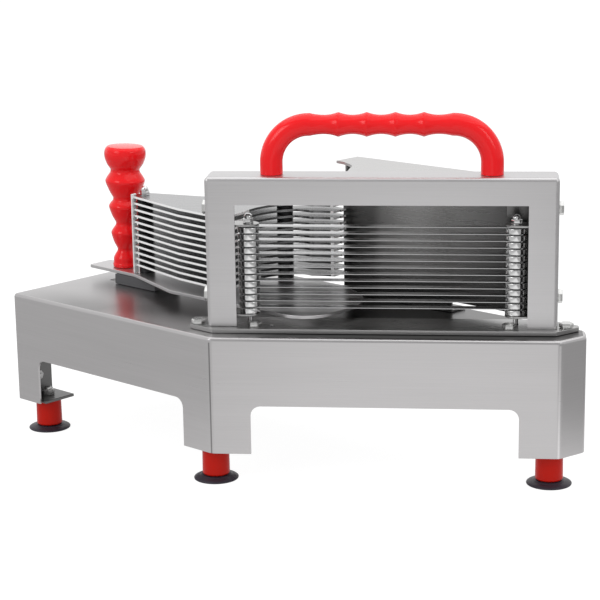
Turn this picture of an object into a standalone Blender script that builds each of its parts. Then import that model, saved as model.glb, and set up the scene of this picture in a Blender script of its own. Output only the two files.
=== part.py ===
"""Tomato slicer: a horizontal push slicer on a folded steel stand.

A stack of thirteen level blades is held in a portal frame at the front. A
carriage slides along a slot that runs aslant to the blades, and its twelve
slats pass between them, so the fruit is drawn across the edges as it is
pushed through.

Lengths are in metres. The front frame has its zero at the corner where the
slanted panel meets the front panel, x along the front panel and y to the
back. The travel frame is the same, turned to lie along the slanted panel.
"""
import math

import bmesh
import bpy
from mathutils import Matrix, Vector
from mathutils.geometry import tessellate_polygon

# Clearances and shared stock
SEAT_GAP = 0.0003
RUNNING_GAP = 0.0006
BORE_GAP = 0.0003
OVERRUN = 0.0040
SHEET = 0.0020
SMOOTH_ANGLE = math.radians(38.0)

# Feet
CUP_RADIUS = 0.0182
CUP_HEIGHT = 0.0080
CUP_NECK_RADIUS = 0.0095
CUP_RIM_WIDTH = 0.0034
CUP_LIP_HEIGHT = 0.0012
CUP_WEB = 0.0024
SLEEVE_RADIUS = 0.0112
SLEEVE_LENGTH = 0.0192
SLEEVE_CHAMFER = 0.0010
FOOT_BOLT_RADIUS = 0.0030
FOOT_NUT_RADIUS = 0.0055
FOOT_INSET = 0.0195
FRONT_FOOT_SETBACK = 0.0230
RIGHT_FOOT_INSET = 0.0070

# Folded base
FRONT_LENGTH = 0.2765
LEFT_LENGTH = 0.2444
CHAMFER_LENGTH = 0.0271
RIGHT_LENGTH = 0.018388663054
BASE_DEPTH = 0.0959
ARCH_HEIGHT = 0.0399
ARCH_RADIUS = 0.0080
LEG_WIDTH = 0.0320
END_LEG_WIDTH = 0.0300
BEND_RADIUS = 0.0030
TRAVEL_ANGLE = math.radians(37.1)
CHAMFER_ANGLE = math.radians(41.3)

# Foot brackets
BRACKET_SIZE = 0.0320
BRACKET_STOCK = 0.0025
BRACKET_BEND = 0.0040
TAB_HALF_WIDTH = 0.0260
TAB_REACH = 0.0360

# Standard hexagon bolts
BOLT_RADIUS = 0.0030
BOLT_HEAD_RADIUS = 0.0058
BOLT_HEAD_HEIGHT = 0.0040
BOLT_NUT_HEIGHT = 0.0050

# Frame plate
PLATE_STOCK = 0.0035
PLATE_SETBACK = 0.0146
PLATE_LEFT_OVERHANG = 0.0195
PLATE_LEFT_DEPTH = 0.0150
PLATE_REACH = 0.0400
PLATE_EDGE_MARGIN = 0.0035
PLATE_CORNER_RADIUS = 0.0015
OUTER_BOLT_OVERHANG = 0.0085
OUTER_BOLT_SETBACK = 0.0170
RIGHT_BOLT_OVERHANG = 0.0070
RIGHT_BOLT_SETBACK = 0.0145
INNER_BOLT_OFFSET = 0.0143
INNER_BOLT_SETBACK = 0.0090
DRAIN_RADIUS = 0.0020
DRAIN_OFFSET = 0.0135
DRAIN_SETBACK = 0.0120

# Blade frame
FRAME_RIGHT_INSET = 0.0023
FRAME_HEIGHT = 0.1203
FRAME_DEPTH = 0.0310
FRAME_SETBACK = 0.0224
FRAME_OVERHANG = 0.0039
POST_WIDTH = 0.0236
RAIL_HEIGHT = 0.0220
FRAME_BEND = 0.0032

# Blades, their rods and spacers
BLADE_COUNT = 13
BLADE_PITCH = 0.0055
BLADE_STOCK = 0.0005
BLADE_WIDTH = 0.0100
BLADE_EDGE = 0.0001
BLADE_BEVEL = 0.0026
BLADE_END = 0.0070
ROD_INSET = 0.03255
ROD_RADIUS = 0.0022
SPACER_RADIUS = 0.00875
ACORN_RADIUS = 0.0042
ACORN_HEIGHT = 0.0080
BLADE_DROP = 0.0412

# Rod holders and tension bolts
HOLDER_STOCK = 0.0015
HOLDER_WEB = 0.0060
HOLDER_WEB_INSET = 0.0070
HOLDER_RISE = 0.0200
TENSION_TOP_DROP = 0.0265
TENSION_BOTTOM_RISE = 0.0228

# Top handle
HANDLE_SPAN = 0.1800
HANDLE_RISE = 0.0415
HANDLE_BEND = 0.0300
HANDLE_RADIUS = 0.0090
GRIP_RIDGE_RADIUS = 0.0098
GRIP_VALLEY_RADIUS = 0.0076
GRIP_PITCH = 0.0229
GRIP_RIDGES = 4
HANDLE_BOLT_RADIUS = 0.0040

# Sliding carriage
RAIL_OFFSET = 0.0965
SLOT_WIDTH = 0.0160
SLOT_START = -0.2170
SLOT_END = 0.0220
SLOT_RADIUS = 0.0015
CARRIAGE_LIFT = 0.0095
CARRIAGE_STOCK = 0.0028
CARRIAGE_FRONT = 0.0540
CARRIAGE_TAIL = -0.2380
CARRIAGE_TAIL_WIDTH = 0.0250
CARRIAGE_CLEARANCE = 0.0012
CARRIAGE_CORNER = 0.0280
CARRIAGE_FAR = 0.0640
CARRIAGE_FAR_CORNER = 0.0550
TAIL_SHOULDER = -0.1750
WING_START = -0.1050
FAR_WING_START = -0.0650
SLIDER_START = -0.2010
SLIDER_LENGTH = 0.0515
SLIDER_WIDTH = 0.0300
KEEPER_STOCK = 0.0040

# Pusher slats
SLAT_STOCK = 0.0020
CUP_CENTRE_X = 0.0010
CUP_CENTRE_Y = 0.0215
PUSHER_RADIUS = 0.0570
PRONG_WIDTH = 0.0080
PRONG_TIP_ANGLE = math.radians(103.0)
PRONG_ROOT_ANGLE = math.radians(139.0)
CUP_START_ANGLE = math.radians(205.0)
SLAT_TAIL = -0.1830
SLAT_TAIL_WIDTH = 0.0170
SLAT_BEND_ONE = -0.1060
SLAT_BEND_TWO = -0.0700
SLAT_BEND_ONE_OFFSET = 0.0255
SLAT_NEAR_OFFSET = 0.0285
SLAT_NEAR_END = -0.0480
SLAT_FAR_BEND = -0.1300
SLAT_FAR_OFFSET = 0.0270
SLAT_CORNER = 0.0040
TAIL_ROD_X = -0.1745
MIDDLE_ROD_X = -0.1000
MIDDLE_ROD_Y = 0.0200
FAR_ROD_X = -0.0560
FAR_ROD_Y = 0.0535
SLAT_ROD_RADIUS = 0.0025
SLAT_SPACER_RADIUS = 0.0070
SLAT_NUT_RADIUS = 0.0045
COMB_STOCK = 0.0015
COMB_X = -0.1795
COMB_SPINE = 0.0026
COMB_TOOTH = 0.0027

# Knob
KNOB_X = -0.2100
KNOB_HEIGHT = 0.1140
KNOB_RADIUS = 0.0186
KNOB_BOLT_RADIUS = 0.0040
KNOB_NUT_RADIUS = 0.0065

# Fence behind the blades
FENCE_INSET = 0.0230
FENCE_START = -0.0050
FENCE_NOSE = 0.0150
FENCE_NOSE_TOP = 0.2300
FENCE_CLEARANCE = 0.0030
FENCE_TOP = 0.2440
FENCE_FOOT_END = 0.0980
FENCE_FOOT_WIDTH = 0.0170
FENCE_RAISED_EDGE = 0.1335
FENCE_RETURN = 0.0140
FENCE_HOOK = 0.0270
FENCE_HOOK_REACH = 0.0250
FENCE_TOP_WIDTH = 0.0140
FENCE_FLANGE = 0.0330
FENCE_BOLT_ONE = 0.0180
FENCE_BOLT_TWO = 0.0720

# Facet counts
ARC_STEPS = 5
CUP_SIDES = 14
SLEEVE_SIDES = 14
BORE_SIDES = 8
BEND_STEPS = 3
CORNER_STEPS = 2
CUP_STEPS = 9
PRONG_STEPS = 4
HANDLE_STEPS = 6
GRIP_STEPS = 4
SPACER_SIDES = 10
SLAT_SPACER_SIDES = 8
HANDLE_SIDES = 10
KNOB_SIDES = 14
HEX_SIDES = 6

# Profile of the knob, from its foot to its top: height share, radius share
KNOB_PROFILE_SHARES = (
    (0.000, 0.56), (0.035, 0.60), (0.090, 0.60), (0.160, 0.42), (0.185, 0.42),
    (0.235, 0.62), (0.300, 0.71), (0.365, 0.62), (0.405, 0.50), (0.430, 0.50),
    (0.475, 0.68), (0.525, 0.77), (0.580, 0.70), (0.620, 0.57), (0.645, 0.57),
    (0.690, 0.80), (0.745, 0.93), (0.800, 0.82), (0.840, 0.70), (0.865, 0.72),
    (0.905, 0.95), (0.935, 1.00), (0.975, 0.98), (1.000, 0.86),
)

# Levels and widths worked out from the sizes above
CHAMFER_X = FRONT_LENGTH + CHAMFER_LENGTH * math.cos(CHAMFER_ANGLE)
CHAMFER_Y = CHAMFER_LENGTH * math.sin(CHAMFER_ANGLE)
BASE_WIDTH = CHAMFER_X * math.sin(TRAVEL_ANGLE) + (CHAMFER_Y + RIGHT_LENGTH) * math.cos(TRAVEL_ANGLE)
FENCE_OFFSET = BASE_WIDTH - FENCE_INSET
LEG_BOTTOM = CUP_HEIGHT + SLEEVE_LENGTH + 2 * SEAT_GAP
BASE_TOP = LEG_BOTTOM + BASE_DEPTH
PLATE_BOTTOM = BASE_TOP + SEAT_GAP
PLATE_TOP = PLATE_BOTTOM + PLATE_STOCK
FRAME_BOTTOM = PLATE_TOP + SEAT_GAP
FRAME_TOP = FRAME_BOTTOM + FRAME_HEIGHT
FRAME_LEFT = -FRAME_OVERHANG
FRAME_RIGHT = FRONT_LENGTH - FRAME_RIGHT_INSET
FRAME_MIDDLE = (FRAME_LEFT + FRAME_RIGHT) / 2
FRAME_BACK = FRAME_SETBACK + FRAME_DEPTH
BLADE_Y = FRAME_SETBACK + (FRAME_DEPTH + SHEET) / 2
BLADE_TOP = FRAME_TOP - BLADE_DROP
SPACER_HEIGHT = BLADE_PITCH - BLADE_STOCK - 2 * SEAT_GAP
STACK_BOTTOM = BLADE_TOP - BLADE_COUNT * BLADE_PITCH + SEAT_GAP
ROD_LEFT = FRAME_LEFT + ROD_INSET
ROD_RIGHT = FRAME_RIGHT - ROD_INSET
CARRIAGE_BOTTOM = CARRIAGE_LIFT
CARRIAGE_TOP = CARRIAGE_BOTTOM + CARRIAGE_STOCK
SLAT_COUNT = BLADE_COUNT - 1
SLAT_TOP = BLADE_TOP - BASE_TOP - BLADE_PITCH / 2 - BLADE_STOCK / 2 + SLAT_STOCK / 2


def along(x, y):
    """Give a front-frame point in the travel frame."""
    cosine, sine = math.cos(TRAVEL_ANGLE), math.sin(TRAVEL_ANGLE)
    return (x * cosine - y * sine, x * sine + y * cosine)


def across(s, n):
    """Give a travel-frame point in the front frame."""
    cosine, sine = math.cos(TRAVEL_ANGLE), math.sin(TRAVEL_ANGLE)
    return (s * cosine + n * sine, n * cosine - s * sine)


def base_corners():
    """List the corners of the base, anticlockwise from its far left."""
    left = across(-LEFT_LENGTH, 0)
    right = (FRONT_LENGTH, 0)
    chamfer = (CHAMFER_X, CHAMFER_Y)
    back = (CHAMFER_X, CHAMFER_Y + RIGHT_LENGTH)
    rear = across(-LEFT_LENGTH, BASE_WIDTH)
    return [left, (0, 0), right, chamfer, back, rear]


def arc(centre, radius, start, end, steps):
    """List the points of an arc, both ends included."""
    points = []
    for i in range(steps + 1):
        angle = start + (end - start) * i / steps
        x = centre[0] + radius * math.cos(angle)
        y = centre[1] + radius * math.sin(angle)
        points.append((x, y))
    return points


def circle(centre, radius, sides):
    """List the corners of a circle, anticlockwise."""
    return arc(centre, radius, 0, math.tau, sides)[:-1]


def bore_outline(centre, radius):
    """List the corners of a bore whose flats clear a pin of this radius."""
    return circle(centre, (radius + BORE_GAP) / math.cos(math.pi / BORE_SIDES), BORE_SIDES)


def rounded(corners, radii, steps=ARC_STEPS):
    """Round the corners of an outline, each with its own radius."""
    points = []
    count = len(corners)
    for i, radius in enumerate(radii):
        corner = Vector(corners[i])
        if radius == 0:
            points.append(tuple(corner))
            continue
        before = (Vector(corners[i - 1]) - corner).normalized()
        after = (Vector(corners[(i + 1) % count]) - corner).normalized()
        half = before.angle(after) / 2
        centre = corner + (before + after).normalized() * radius / math.sin(half)
        first = corner + before * radius / math.tan(half) - centre
        last = corner + after * radius / math.tan(half) - centre
        start = math.atan2(first.y, first.x)
        turn = math.atan2(last.y, last.x) - start
        turn = (turn + math.pi) % math.tau - math.pi
        points += arc(centre, radius, start, start + turn, steps)
    return points


def inset_outline(corners, inset):
    """Move every side of a convex anticlockwise outline inwards."""
    sides = []
    count = len(corners)
    for i in range(count):
        start = Vector(corners[i])
        direction = (Vector(corners[(i + 1) % count]) - start).normalized()
        normal = Vector((-direction.y, direction.x))
        sides.append((start + normal * inset, direction))
    points = []
    for i in range(count):
        start, direction = sides[i - 1]
        other, heading = sides[i]
        gap = other - start
        step = gap.cross(heading) / direction.cross(heading)
        points.append(tuple(start + direction * step))
    return points


def prism(outline, bottom, top, holes=()):
    """Close a flat outline with holes into a straight solid."""
    shape = bmesh.new()
    loops = [list(outline)] + [list(hole) for hole in holes]
    flat = [[Vector((x, y, 0)) for x, y in loop] for loop in loops]
    lower = [shape.verts.new((x, y, bottom)) for loop in loops for x, y in loop]
    upper = [shape.verts.new((x, y, top)) for loop in loops for x, y in loop]
    if holes:
        for a, b, c in tessellate_polygon(flat):
            shape.faces.new((upper[a], upper[b], upper[c]))
            shape.faces.new((lower[c], lower[b], lower[a]))
    else:
        shape.faces.new(upper)
        shape.faces.new(lower[::-1])
    first = 0
    for loop in loops:
        count = len(loop)
        for i in range(count):
            j, k = first + i, first + (i + 1) % count
            shape.faces.new((lower[j], lower[k], upper[k], upper[j]))
        first += count
    bmesh.ops.recalc_face_normals(shape, faces=shape.faces)
    return shape


def box(low, high):
    """Make a box between two opposite corners."""
    corners = [(low[0], low[1]), (high[0], low[1]), (high[0], high[1]), (low[0], high[1])]
    return prism(corners, low[2], high[2])


def turned(profile, sides, centre=(0, 0)):
    """Turn a closed profile of radius and height points about z."""
    shape = bmesh.new()
    rings = []
    for radius, height in profile:
        if radius == 0:
            rings.append([shape.verts.new((centre[0], centre[1], height))])
            continue
        points = circle(centre, radius, sides)
        rings.append([shape.verts.new((x, y, height)) for x, y in points])
    for i, ring in enumerate(rings):
        after = rings[(i + 1) % len(rings)]
        if len(ring) == 1 and len(after) == 1:
            continue
        for j in range(sides):
            k = (j + 1) % sides
            if len(ring) == 1:
                corners = (ring[0], after[k], after[j])
            elif len(after) == 1:
                corners = (ring[j], ring[k], after[0])
            else:
                corners = (ring[j], ring[k], after[k], after[j])
            shape.faces.new(corners)
    bmesh.ops.recalc_face_normals(shape, faces=shape.faces)
    return shape


def joined(shapes):
    """Gather several shapes into one, as separate bodies."""
    whole = bmesh.new()
    for shape in shapes:
        mesh = bpy.data.meshes.new("joining")
        shape.to_mesh(mesh)
        shape.free()
        whole.from_mesh(mesh)
        bpy.data.meshes.remove(mesh)
    return whole


def moved(shape, matrix):
    """Move a shape and give it back."""
    bmesh.ops.transform(shape, matrix=matrix, verts=shape.verts)
    if matrix.determinant() < 0:
        bmesh.ops.reverse_faces(shape, faces=shape.faces)
    return shape


def soften(shape, chosen, radius, segments):
    """Round the edges for which a test on their two ends holds."""
    edges = [e for e in shape.edges if chosen(e.verts[0].co, e.verts[1].co)]
    bmesh.ops.bevel(
        shape, geom=edges, offset=radius, offset_type="OFFSET",
        segments=segments, profile=0.5, affect="EDGES",
    )
    return shape


def add_part(name, shape, finish, parent, location=(0, 0, 0), turn=0.0):
    """Make a named object from a shape, under its parent frame."""
    mesh = bpy.data.meshes.new(name)
    shape.to_mesh(mesh)
    shape.free()
    mesh.shade_smooth()
    mesh.set_sharp_from_angle(angle=SMOOTH_ANGLE)
    mesh.materials.append(finish)
    return add_copy(name, mesh, parent, location, turn)


def add_copy(name, mesh, parent, location=(0, 0, 0), turn=0.0):
    """Place a mesh as a named object under its parent frame."""
    part = bpy.data.objects.new(name, mesh)
    bpy.context.collection.objects.link(part)
    part.parent = parent
    part.location = location
    part.rotation_euler.z = turn
    return part


def combine(part, name, shape, operation):
    """Cut or join a hidden shape to a part with a Boolean."""
    mesh = bpy.data.meshes.new(name)
    shape.to_mesh(mesh)
    shape.free()
    guide = add_copy(name, mesh, part.parent, part.location, part.rotation_euler.z)
    guide.hide_render = True
    guide.display_type = "WIRE"
    modifier = part.modifiers.new(name, "BOOLEAN")
    modifier.operation = operation
    modifier.object = guide


def make_finish(name, colour, roughness, metallic):
    """Make a plain surface material."""
    finish = bpy.data.materials.new(name)
    finish.use_nodes = True
    shader = finish.node_tree.nodes["Principled BSDF"]
    shader.inputs["Base Color"].default_value = (*colour, 1.0)
    shader.inputs["Roughness"].default_value = roughness
    shader.inputs["Metallic"].default_value = metallic
    finish.diffuse_color = (*colour, 1.0)
    return finish


def make_finishes():
    """Make every surface material of the slicer."""
    return {
        "sheet": make_finish("brushed_sheet", (0.62, 0.61, 0.60), 0.35, 1.0),
        "plate": make_finish("ground_plate", (0.55, 0.55, 0.55), 0.40, 1.0),
        "blade": make_finish("blade_steel", (0.70, 0.70, 0.71), 0.22, 1.0),
        "slat": make_finish("slat_aluminium", (0.78, 0.78, 0.78), 0.30, 1.0),
        "chrome": make_finish("chromed_steel", (0.80, 0.80, 0.80), 0.12, 1.0),
        "fixing": make_finish("zinc_fixing", (0.66, 0.66, 0.65), 0.30, 1.0),
        "red": make_finish("red_grip", (0.80, 0.02, 0.02), 0.25, 0.0),
        "sleeve": make_finish("red_sleeve", (0.74, 0.05, 0.02), 0.35, 0.0),
        "dark": make_finish("dark_spacer", (0.05, 0.05, 0.06), 0.45, 0.0),
        "cup": make_finish("black_rubber", (0.02, 0.02, 0.025), 0.50, 0.0),
        "nylon": make_finish("white_nylon", (0.80, 0.79, 0.76), 0.50, 0.0),
    }


def make_frames():
    """Make the empties that carry the fixed and the sliding parts."""
    centres = inset_outline(base_corners(), BEND_RADIUS)
    middle_x = (min(x for x, y in centres) + max(x for x, y in centres)) / 2
    middle_y = (min(y for x, y in centres) + max(y for x, y in centres)) / 2
    front = bpy.data.objects.new("front_frame", None)
    travel = bpy.data.objects.new("travel_frame", None)
    slide = bpy.data.objects.new("carriage_slide", None)
    for frame in (front, travel, slide):
        bpy.context.collection.objects.link(frame)
    front.location = (-middle_x, -middle_y, 0)
    travel.parent = front
    travel.rotation_euler.z = -TRAVEL_ANGLE
    slide.parent = travel
    slide.location = (0, RAIL_OFFSET, BASE_TOP)
    return front, travel, slide


def arch_cutter(start, end, first_leg, last_leg):
    """Make the cutter that opens one side panel between its legs."""
    heading = (Vector(end) - Vector(start)).normalized()
    length = (Vector(end) - Vector(start)).length
    low, high = LEG_BOTTOM - OVERRUN, LEG_BOTTOM + ARCH_HEIGHT
    corners = [
        (first_leg, low), (length - last_leg, low),
        (length - last_leg, high), (first_leg, high),
    ]
    outline = rounded(corners, (0, 0, ARCH_RADIUS, ARCH_RADIUS))
    shape = prism(outline, -SHEET - OVERRUN, OVERRUN)
    matrix = Matrix((
        (heading.x, 0, heading.y, start[0]),
        (heading.y, 0, -heading.x, start[1]),
        (0, 1, 0, 0),
        (0, 0, 0, 1),
    ))
    return moved(shape, matrix)


def base_shape(corners, bottom, top, radius, segments):
    """Make a base block with rounded upper and upright edges."""
    def is_fold(a, b):
        upright = abs(a.z - b.z) > radius
        upper = a.z > bottom + radius and b.z > bottom + radius
        return upright or upper

    return soften(prism(corners, bottom, top), is_fold, radius, segments)


def foot_places():
    """List each foot: name, place in the front frame and turn of its bracket."""
    left = across(-LEFT_LENGTH + foot_reach(), FOOT_INSET)
    rear = across(-LEFT_LENGTH + foot_reach(), BASE_WIDTH - FOOT_INSET)
    middle = (0, FRONT_FOOT_SETBACK)
    right = (FRONT_LENGTH - RIGHT_FOOT_INSET, FRONT_FOOT_SETBACK)
    end_turn = -TRAVEL_ANGLE - math.pi / 2
    return [
        ("left", left, end_turn),
        ("middle", middle, 0.0),
        ("right", right, 0.0),
        ("rear", rear, end_turn),
    ]


def foot_reach():
    """Give the distance of a foot from the outside of its panel."""
    return SHEET + SEAT_GAP + BRACKET_SIZE / 2


def plate_bolt_places():
    """List the four bolts of the frame plate in the front frame."""
    right_outer = FRAME_RIGHT + RIGHT_BOLT_OVERHANG
    return [
        (FRAME_LEFT - OUTER_BOLT_OVERHANG, PLATE_SETBACK + OUTER_BOLT_SETBACK),
        (FRAME_LEFT + POST_WIDTH + INNER_BOLT_OFFSET, PLATE_SETBACK + INNER_BOLT_SETBACK),
        (FRAME_RIGHT - POST_WIDTH - INNER_BOLT_OFFSET, PLATE_SETBACK + INNER_BOLT_SETBACK),
        (right_outer, PLATE_SETBACK + RIGHT_BOLT_SETBACK),
    ]


def fence_bolt_places():
    """List the bolts of the fence foot in the front frame."""
    offset = FENCE_OFFSET + (SHEET + FENCE_FOOT_WIDTH) / 2
    return [across(FENCE_BOLT_ONE, offset), across(FENCE_BOLT_TWO, offset)]


def bracket_bolt_places():
    """List the bolts through the end panel in the travel frame, with height."""
    height = LEG_BOTTOM + BRACKET_SIZE / 2 + BRACKET_STOCK
    return [(FOOT_INSET, height), (BASE_WIDTH - FOOT_INSET, height)]


def tab_outlines():
    """Draw the foot tabs that are turned in at the middle and right legs."""
    inner = inset_outline(base_corners(), SHEET / 2)
    knee, right, chamfer = inner[1], inner[2], inner[3]
    slant = across(-BRACKET_SIZE, SHEET / 2)
    middle = [
        knee, (TAB_HALF_WIDTH, knee[1]), (TAB_HALF_WIDTH, TAB_REACH),
        (slant[0] + TAB_REACH - BRACKET_SIZE, TAB_REACH), slant,
    ]
    bend_x = (right[0] + chamfer[0]) / 2
    bend_y = (right[1] + chamfer[1]) / 2
    left_x = FRONT_LENGTH - TAB_HALF_WIDTH
    side = [(left_x, right[1]), right, (bend_x, bend_y), (bend_x, TAB_REACH), (left_x, TAB_REACH)]
    return middle, side


def make_base_shell(front, finish):
    """Fold the stand: a top with five walls, arches, slot and holes."""
    corners = base_corners()
    outer = base_shape(corners, LEG_BOTTOM, BASE_TOP, BEND_RADIUS, BEND_STEPS)
    shell = add_part("base_shell", outer, finish, front)
    inner_corners = inset_outline(corners, SHEET)
    inner_radius = BEND_RADIUS - SHEET
    inner = base_shape(inner_corners, LEG_BOTTOM - OVERRUN, BASE_TOP - SHEET, inner_radius, 1)
    combine(shell, "base_hollow_cutter", inner, "DIFFERENCE")

    left, knee, right, chamfer, back, rear = corners
    arches = [
        arch_cutter(left, knee, END_LEG_WIDTH, LEG_WIDTH),
        arch_cutter(knee, right, LEG_WIDTH, LEG_WIDTH),
        arch_cutter(back, rear, LEG_WIDTH, END_LEG_WIDTH),
        arch_cutter(rear, left, END_LEG_WIDTH, END_LEG_WIDTH),
    ]
    combine(shell, "base_arch_cutter", joined(arches), "DIFFERENCE")

    tabs = [prism(tab, LEG_BOTTOM, LEG_BOTTOM + BRACKET_STOCK) for tab in tab_outlines()]
    combine(shell, "base_tab_join", joined(tabs), "UNION")

    half = SLOT_WIDTH / 2
    slot_corners = [
        (SLOT_START, RAIL_OFFSET - half), (SLOT_END, RAIL_OFFSET - half),
        (SLOT_END, RAIL_OFFSET + half), (SLOT_START, RAIL_OFFSET + half),
    ]
    slot = prism(
        rounded(slot_corners, [SLOT_RADIUS] * 4, CORNER_STEPS), BASE_TOP - SHEET - OVERRUN, BASE_TOP + OVERRUN
    )
    slot = moved(slot, Matrix.Rotation(-TRAVEL_ANGLE, 4, "Z"))
    combine(shell, "base_slot_cutter", slot, "DIFFERENCE")

    holes = []
    for place in plate_bolt_places() + fence_bolt_places():
        outline = bore_outline(place, BOLT_RADIUS)
        holes.append(prism(outline, BASE_TOP - SHEET - OVERRUN, BASE_TOP + OVERRUN))
    for offset, height in bracket_bolt_places():
        outline = bore_outline((0, 0), BOLT_RADIUS)
        bore = prism(outline, -OVERRUN, SHEET + OVERRUN)
        bore = moved(bore, Matrix.Rotation(math.pi / 2, 4, "Y"))
        bore = moved(bore, Matrix.Translation((-LEFT_LENGTH, offset, height)))
        holes.append(moved(bore, Matrix.Rotation(-TRAVEL_ANGLE, 4, "Z")))
    for name, place, turn in foot_places():
        if turn == 0:
            outline = bore_outline(place, FOOT_BOLT_RADIUS)
            holes.append(prism(outline, LEG_BOTTOM - OVERRUN, LEG_BOTTOM + BRACKET_STOCK + OVERRUN))
    combine(shell, "base_hole_cutter", joined(holes), "DIFFERENCE")


def bracket_shape():
    """Make an angle bracket, its foot level and its flange at the front."""
    half = BRACKET_SIZE / 2
    corners = [
        (-half, 0), (half, 0), (half, BRACKET_STOCK),
        (-half + BRACKET_STOCK, BRACKET_STOCK),
        (-half + BRACKET_STOCK, BRACKET_SIZE), (-half, BRACKET_SIZE),
    ]
    radii = (BRACKET_BEND, 0, 0, BRACKET_BEND - BRACKET_STOCK, 0, 0)
    profile = prism(rounded(corners, radii, BEND_STEPS), -half, half)
    stand = Matrix(((0, 0, 1, 0), (1, 0, 0, 0), (0, 1, 0, 0), (0, 0, 0, 1)))
    return moved(profile, stand)


def cup_profile():
    """Draw the suction cup with its moulded-in stud and the nut on it."""
    rim = CUP_RADIUS - CUP_RIM_WIDTH
    dome = CUP_HEIGHT - CUP_WEB
    slope = (CUP_RADIUS - CUP_NECK_RADIUS) / 3
    third = (CUP_HEIGHT - CUP_LIP_HEIGHT) / 3
    nut_bottom = LEG_BOTTOM + BRACKET_STOCK + SEAT_GAP
    nut_top = nut_bottom + BOLT_NUT_HEIGHT
    return [
        (0, dome), (CUP_NECK_RADIUS, dome), (rim, 0), (CUP_RADIUS, 0),
        (CUP_RADIUS, CUP_LIP_HEIGHT),
        (CUP_RADIUS - slope, CUP_LIP_HEIGHT / 2 + third),
        (CUP_NECK_RADIUS + slope / 2, CUP_LIP_HEIGHT / 2 + 2 * third),
        (CUP_NECK_RADIUS, CUP_HEIGHT - CUP_LIP_HEIGHT), (CUP_NECK_RADIUS, CUP_HEIGHT),
        (FOOT_BOLT_RADIUS, CUP_HEIGHT), (FOOT_BOLT_RADIUS, nut_bottom),
        (FOOT_NUT_RADIUS, nut_bottom), (FOOT_NUT_RADIUS, nut_top),
        (FOOT_BOLT_RADIUS, nut_top), (FOOT_BOLT_RADIUS, nut_top + SHEET), (0, nut_top + SHEET),
    ]


def sleeve_profile():
    """Draw the sleeve that stands on the cup and carries the leg."""
    bottom = CUP_HEIGHT + SEAT_GAP
    top = bottom + SLEEVE_LENGTH
    bore = FOOT_BOLT_RADIUS + BORE_GAP
    edge = SLEEVE_RADIUS - SLEEVE_CHAMFER
    return [
        (bore, bottom), (SLEEVE_RADIUS, bottom), (SLEEVE_RADIUS, top - SLEEVE_CHAMFER),
        (edge, top), (bore, top),
    ]


def make_feet(front, finishes):
    """Make the four suction cups and sleeves, and the two bolted brackets."""
    names = [name for name, place, turn in foot_places()]
    places = [place for name, place, turn in foot_places()]
    at = (*places[0], 0)
    sleeve_shape = turned(sleeve_profile(), SLEEVE_SIDES)
    cup_shape = turned(cup_profile(), CUP_SIDES)
    sleeve = add_part("foot_sleeve_" + names[0], sleeve_shape, finishes["sleeve"], front, at)
    cup = add_part("suction_cup_" + names[0], cup_shape, finishes["cup"], front, at)
    for name, place in zip(names[1:], places[1:]):
        add_copy("foot_sleeve_" + name, sleeve.data, front, (*place, 0))
        add_copy("suction_cup_" + name, cup.data, front, (*place, 0))

    for name, place, turn in foot_places():
        if turn == 0:
            continue
        seat = (*place, LEG_BOTTOM)
        label = "foot_bracket_" + name
        bracket = add_part(label, bracket_shape(), finishes["plate"], front, seat, turn)
        hole = prism(bore_outline((0, 0), FOOT_BOLT_RADIUS), -OVERRUN, BRACKET_STOCK + OVERRUN)
        combine(bracket, "bracket_bore_cutter_" + name, hole, "DIFFERENCE")
        stud = moved(weld_stud(SHEET + SEAT_GAP), Matrix.Rotation(math.pi / 2, 4, "X"))
        rise = BRACKET_SIZE / 2 + BRACKET_STOCK
        stud = moved(stud, Matrix.Translation((0, -BRACKET_SIZE / 2, rise)))
        combine(bracket, "bracket_stud_join_" + name, stud, "UNION")


def weld_stud(grip, place=(0, 0)):
    """Make an upright stud that is fixed below zero, with its nut past grip."""
    nut_bottom = grip + SEAT_GAP
    nut_top = nut_bottom + BOLT_HEAD_HEIGHT
    profile = [
        (0, -BRACKET_STOCK / 2), (BOLT_RADIUS, -BRACKET_STOCK / 2), (BOLT_RADIUS, nut_bottom),
        (BOLT_HEAD_RADIUS, nut_bottom), (BOLT_HEAD_RADIUS, nut_top), (0, nut_top),
    ]
    return turned(profile, HEX_SIDES, place)


def bolt_shape(grip, place=(0, 0)):
    """Make an upright bolt with its nut; grip is what they clamp."""
    nut_top = -grip - SEAT_GAP
    nut_bottom = nut_top - BOLT_NUT_HEIGHT
    tip = nut_bottom - SHEET
    profile = [
        (0, BOLT_HEAD_HEIGHT), (BOLT_HEAD_RADIUS, BOLT_HEAD_HEIGHT), (BOLT_HEAD_RADIUS, SEAT_GAP),
        (BOLT_RADIUS, SEAT_GAP), (BOLT_RADIUS, nut_top), (BOLT_HEAD_RADIUS, nut_top),
        (BOLT_HEAD_RADIUS, nut_bottom), (BOLT_RADIUS, nut_bottom), (BOLT_RADIUS, tip), (0, tip),
    ]
    return turned(profile, HEX_SIDES, place)


def make_plate_bolts(front, finish):
    """Make the four bolts that hold the frame plate down."""
    grip = PLATE_STOCK + SEAT_GAP + SHEET
    names = ("left_outer", "left_inner", "right_inner", "right_outer")
    mesh = None
    for name, place in zip(names, plate_bolt_places()):
        seat = (*place, PLATE_TOP)
        if mesh is None:
            mesh = add_part("plate_bolt_" + name, bolt_shape(grip), finish, front, seat).data
        else:
            add_copy("plate_bolt_" + name, mesh, front, seat)


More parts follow.
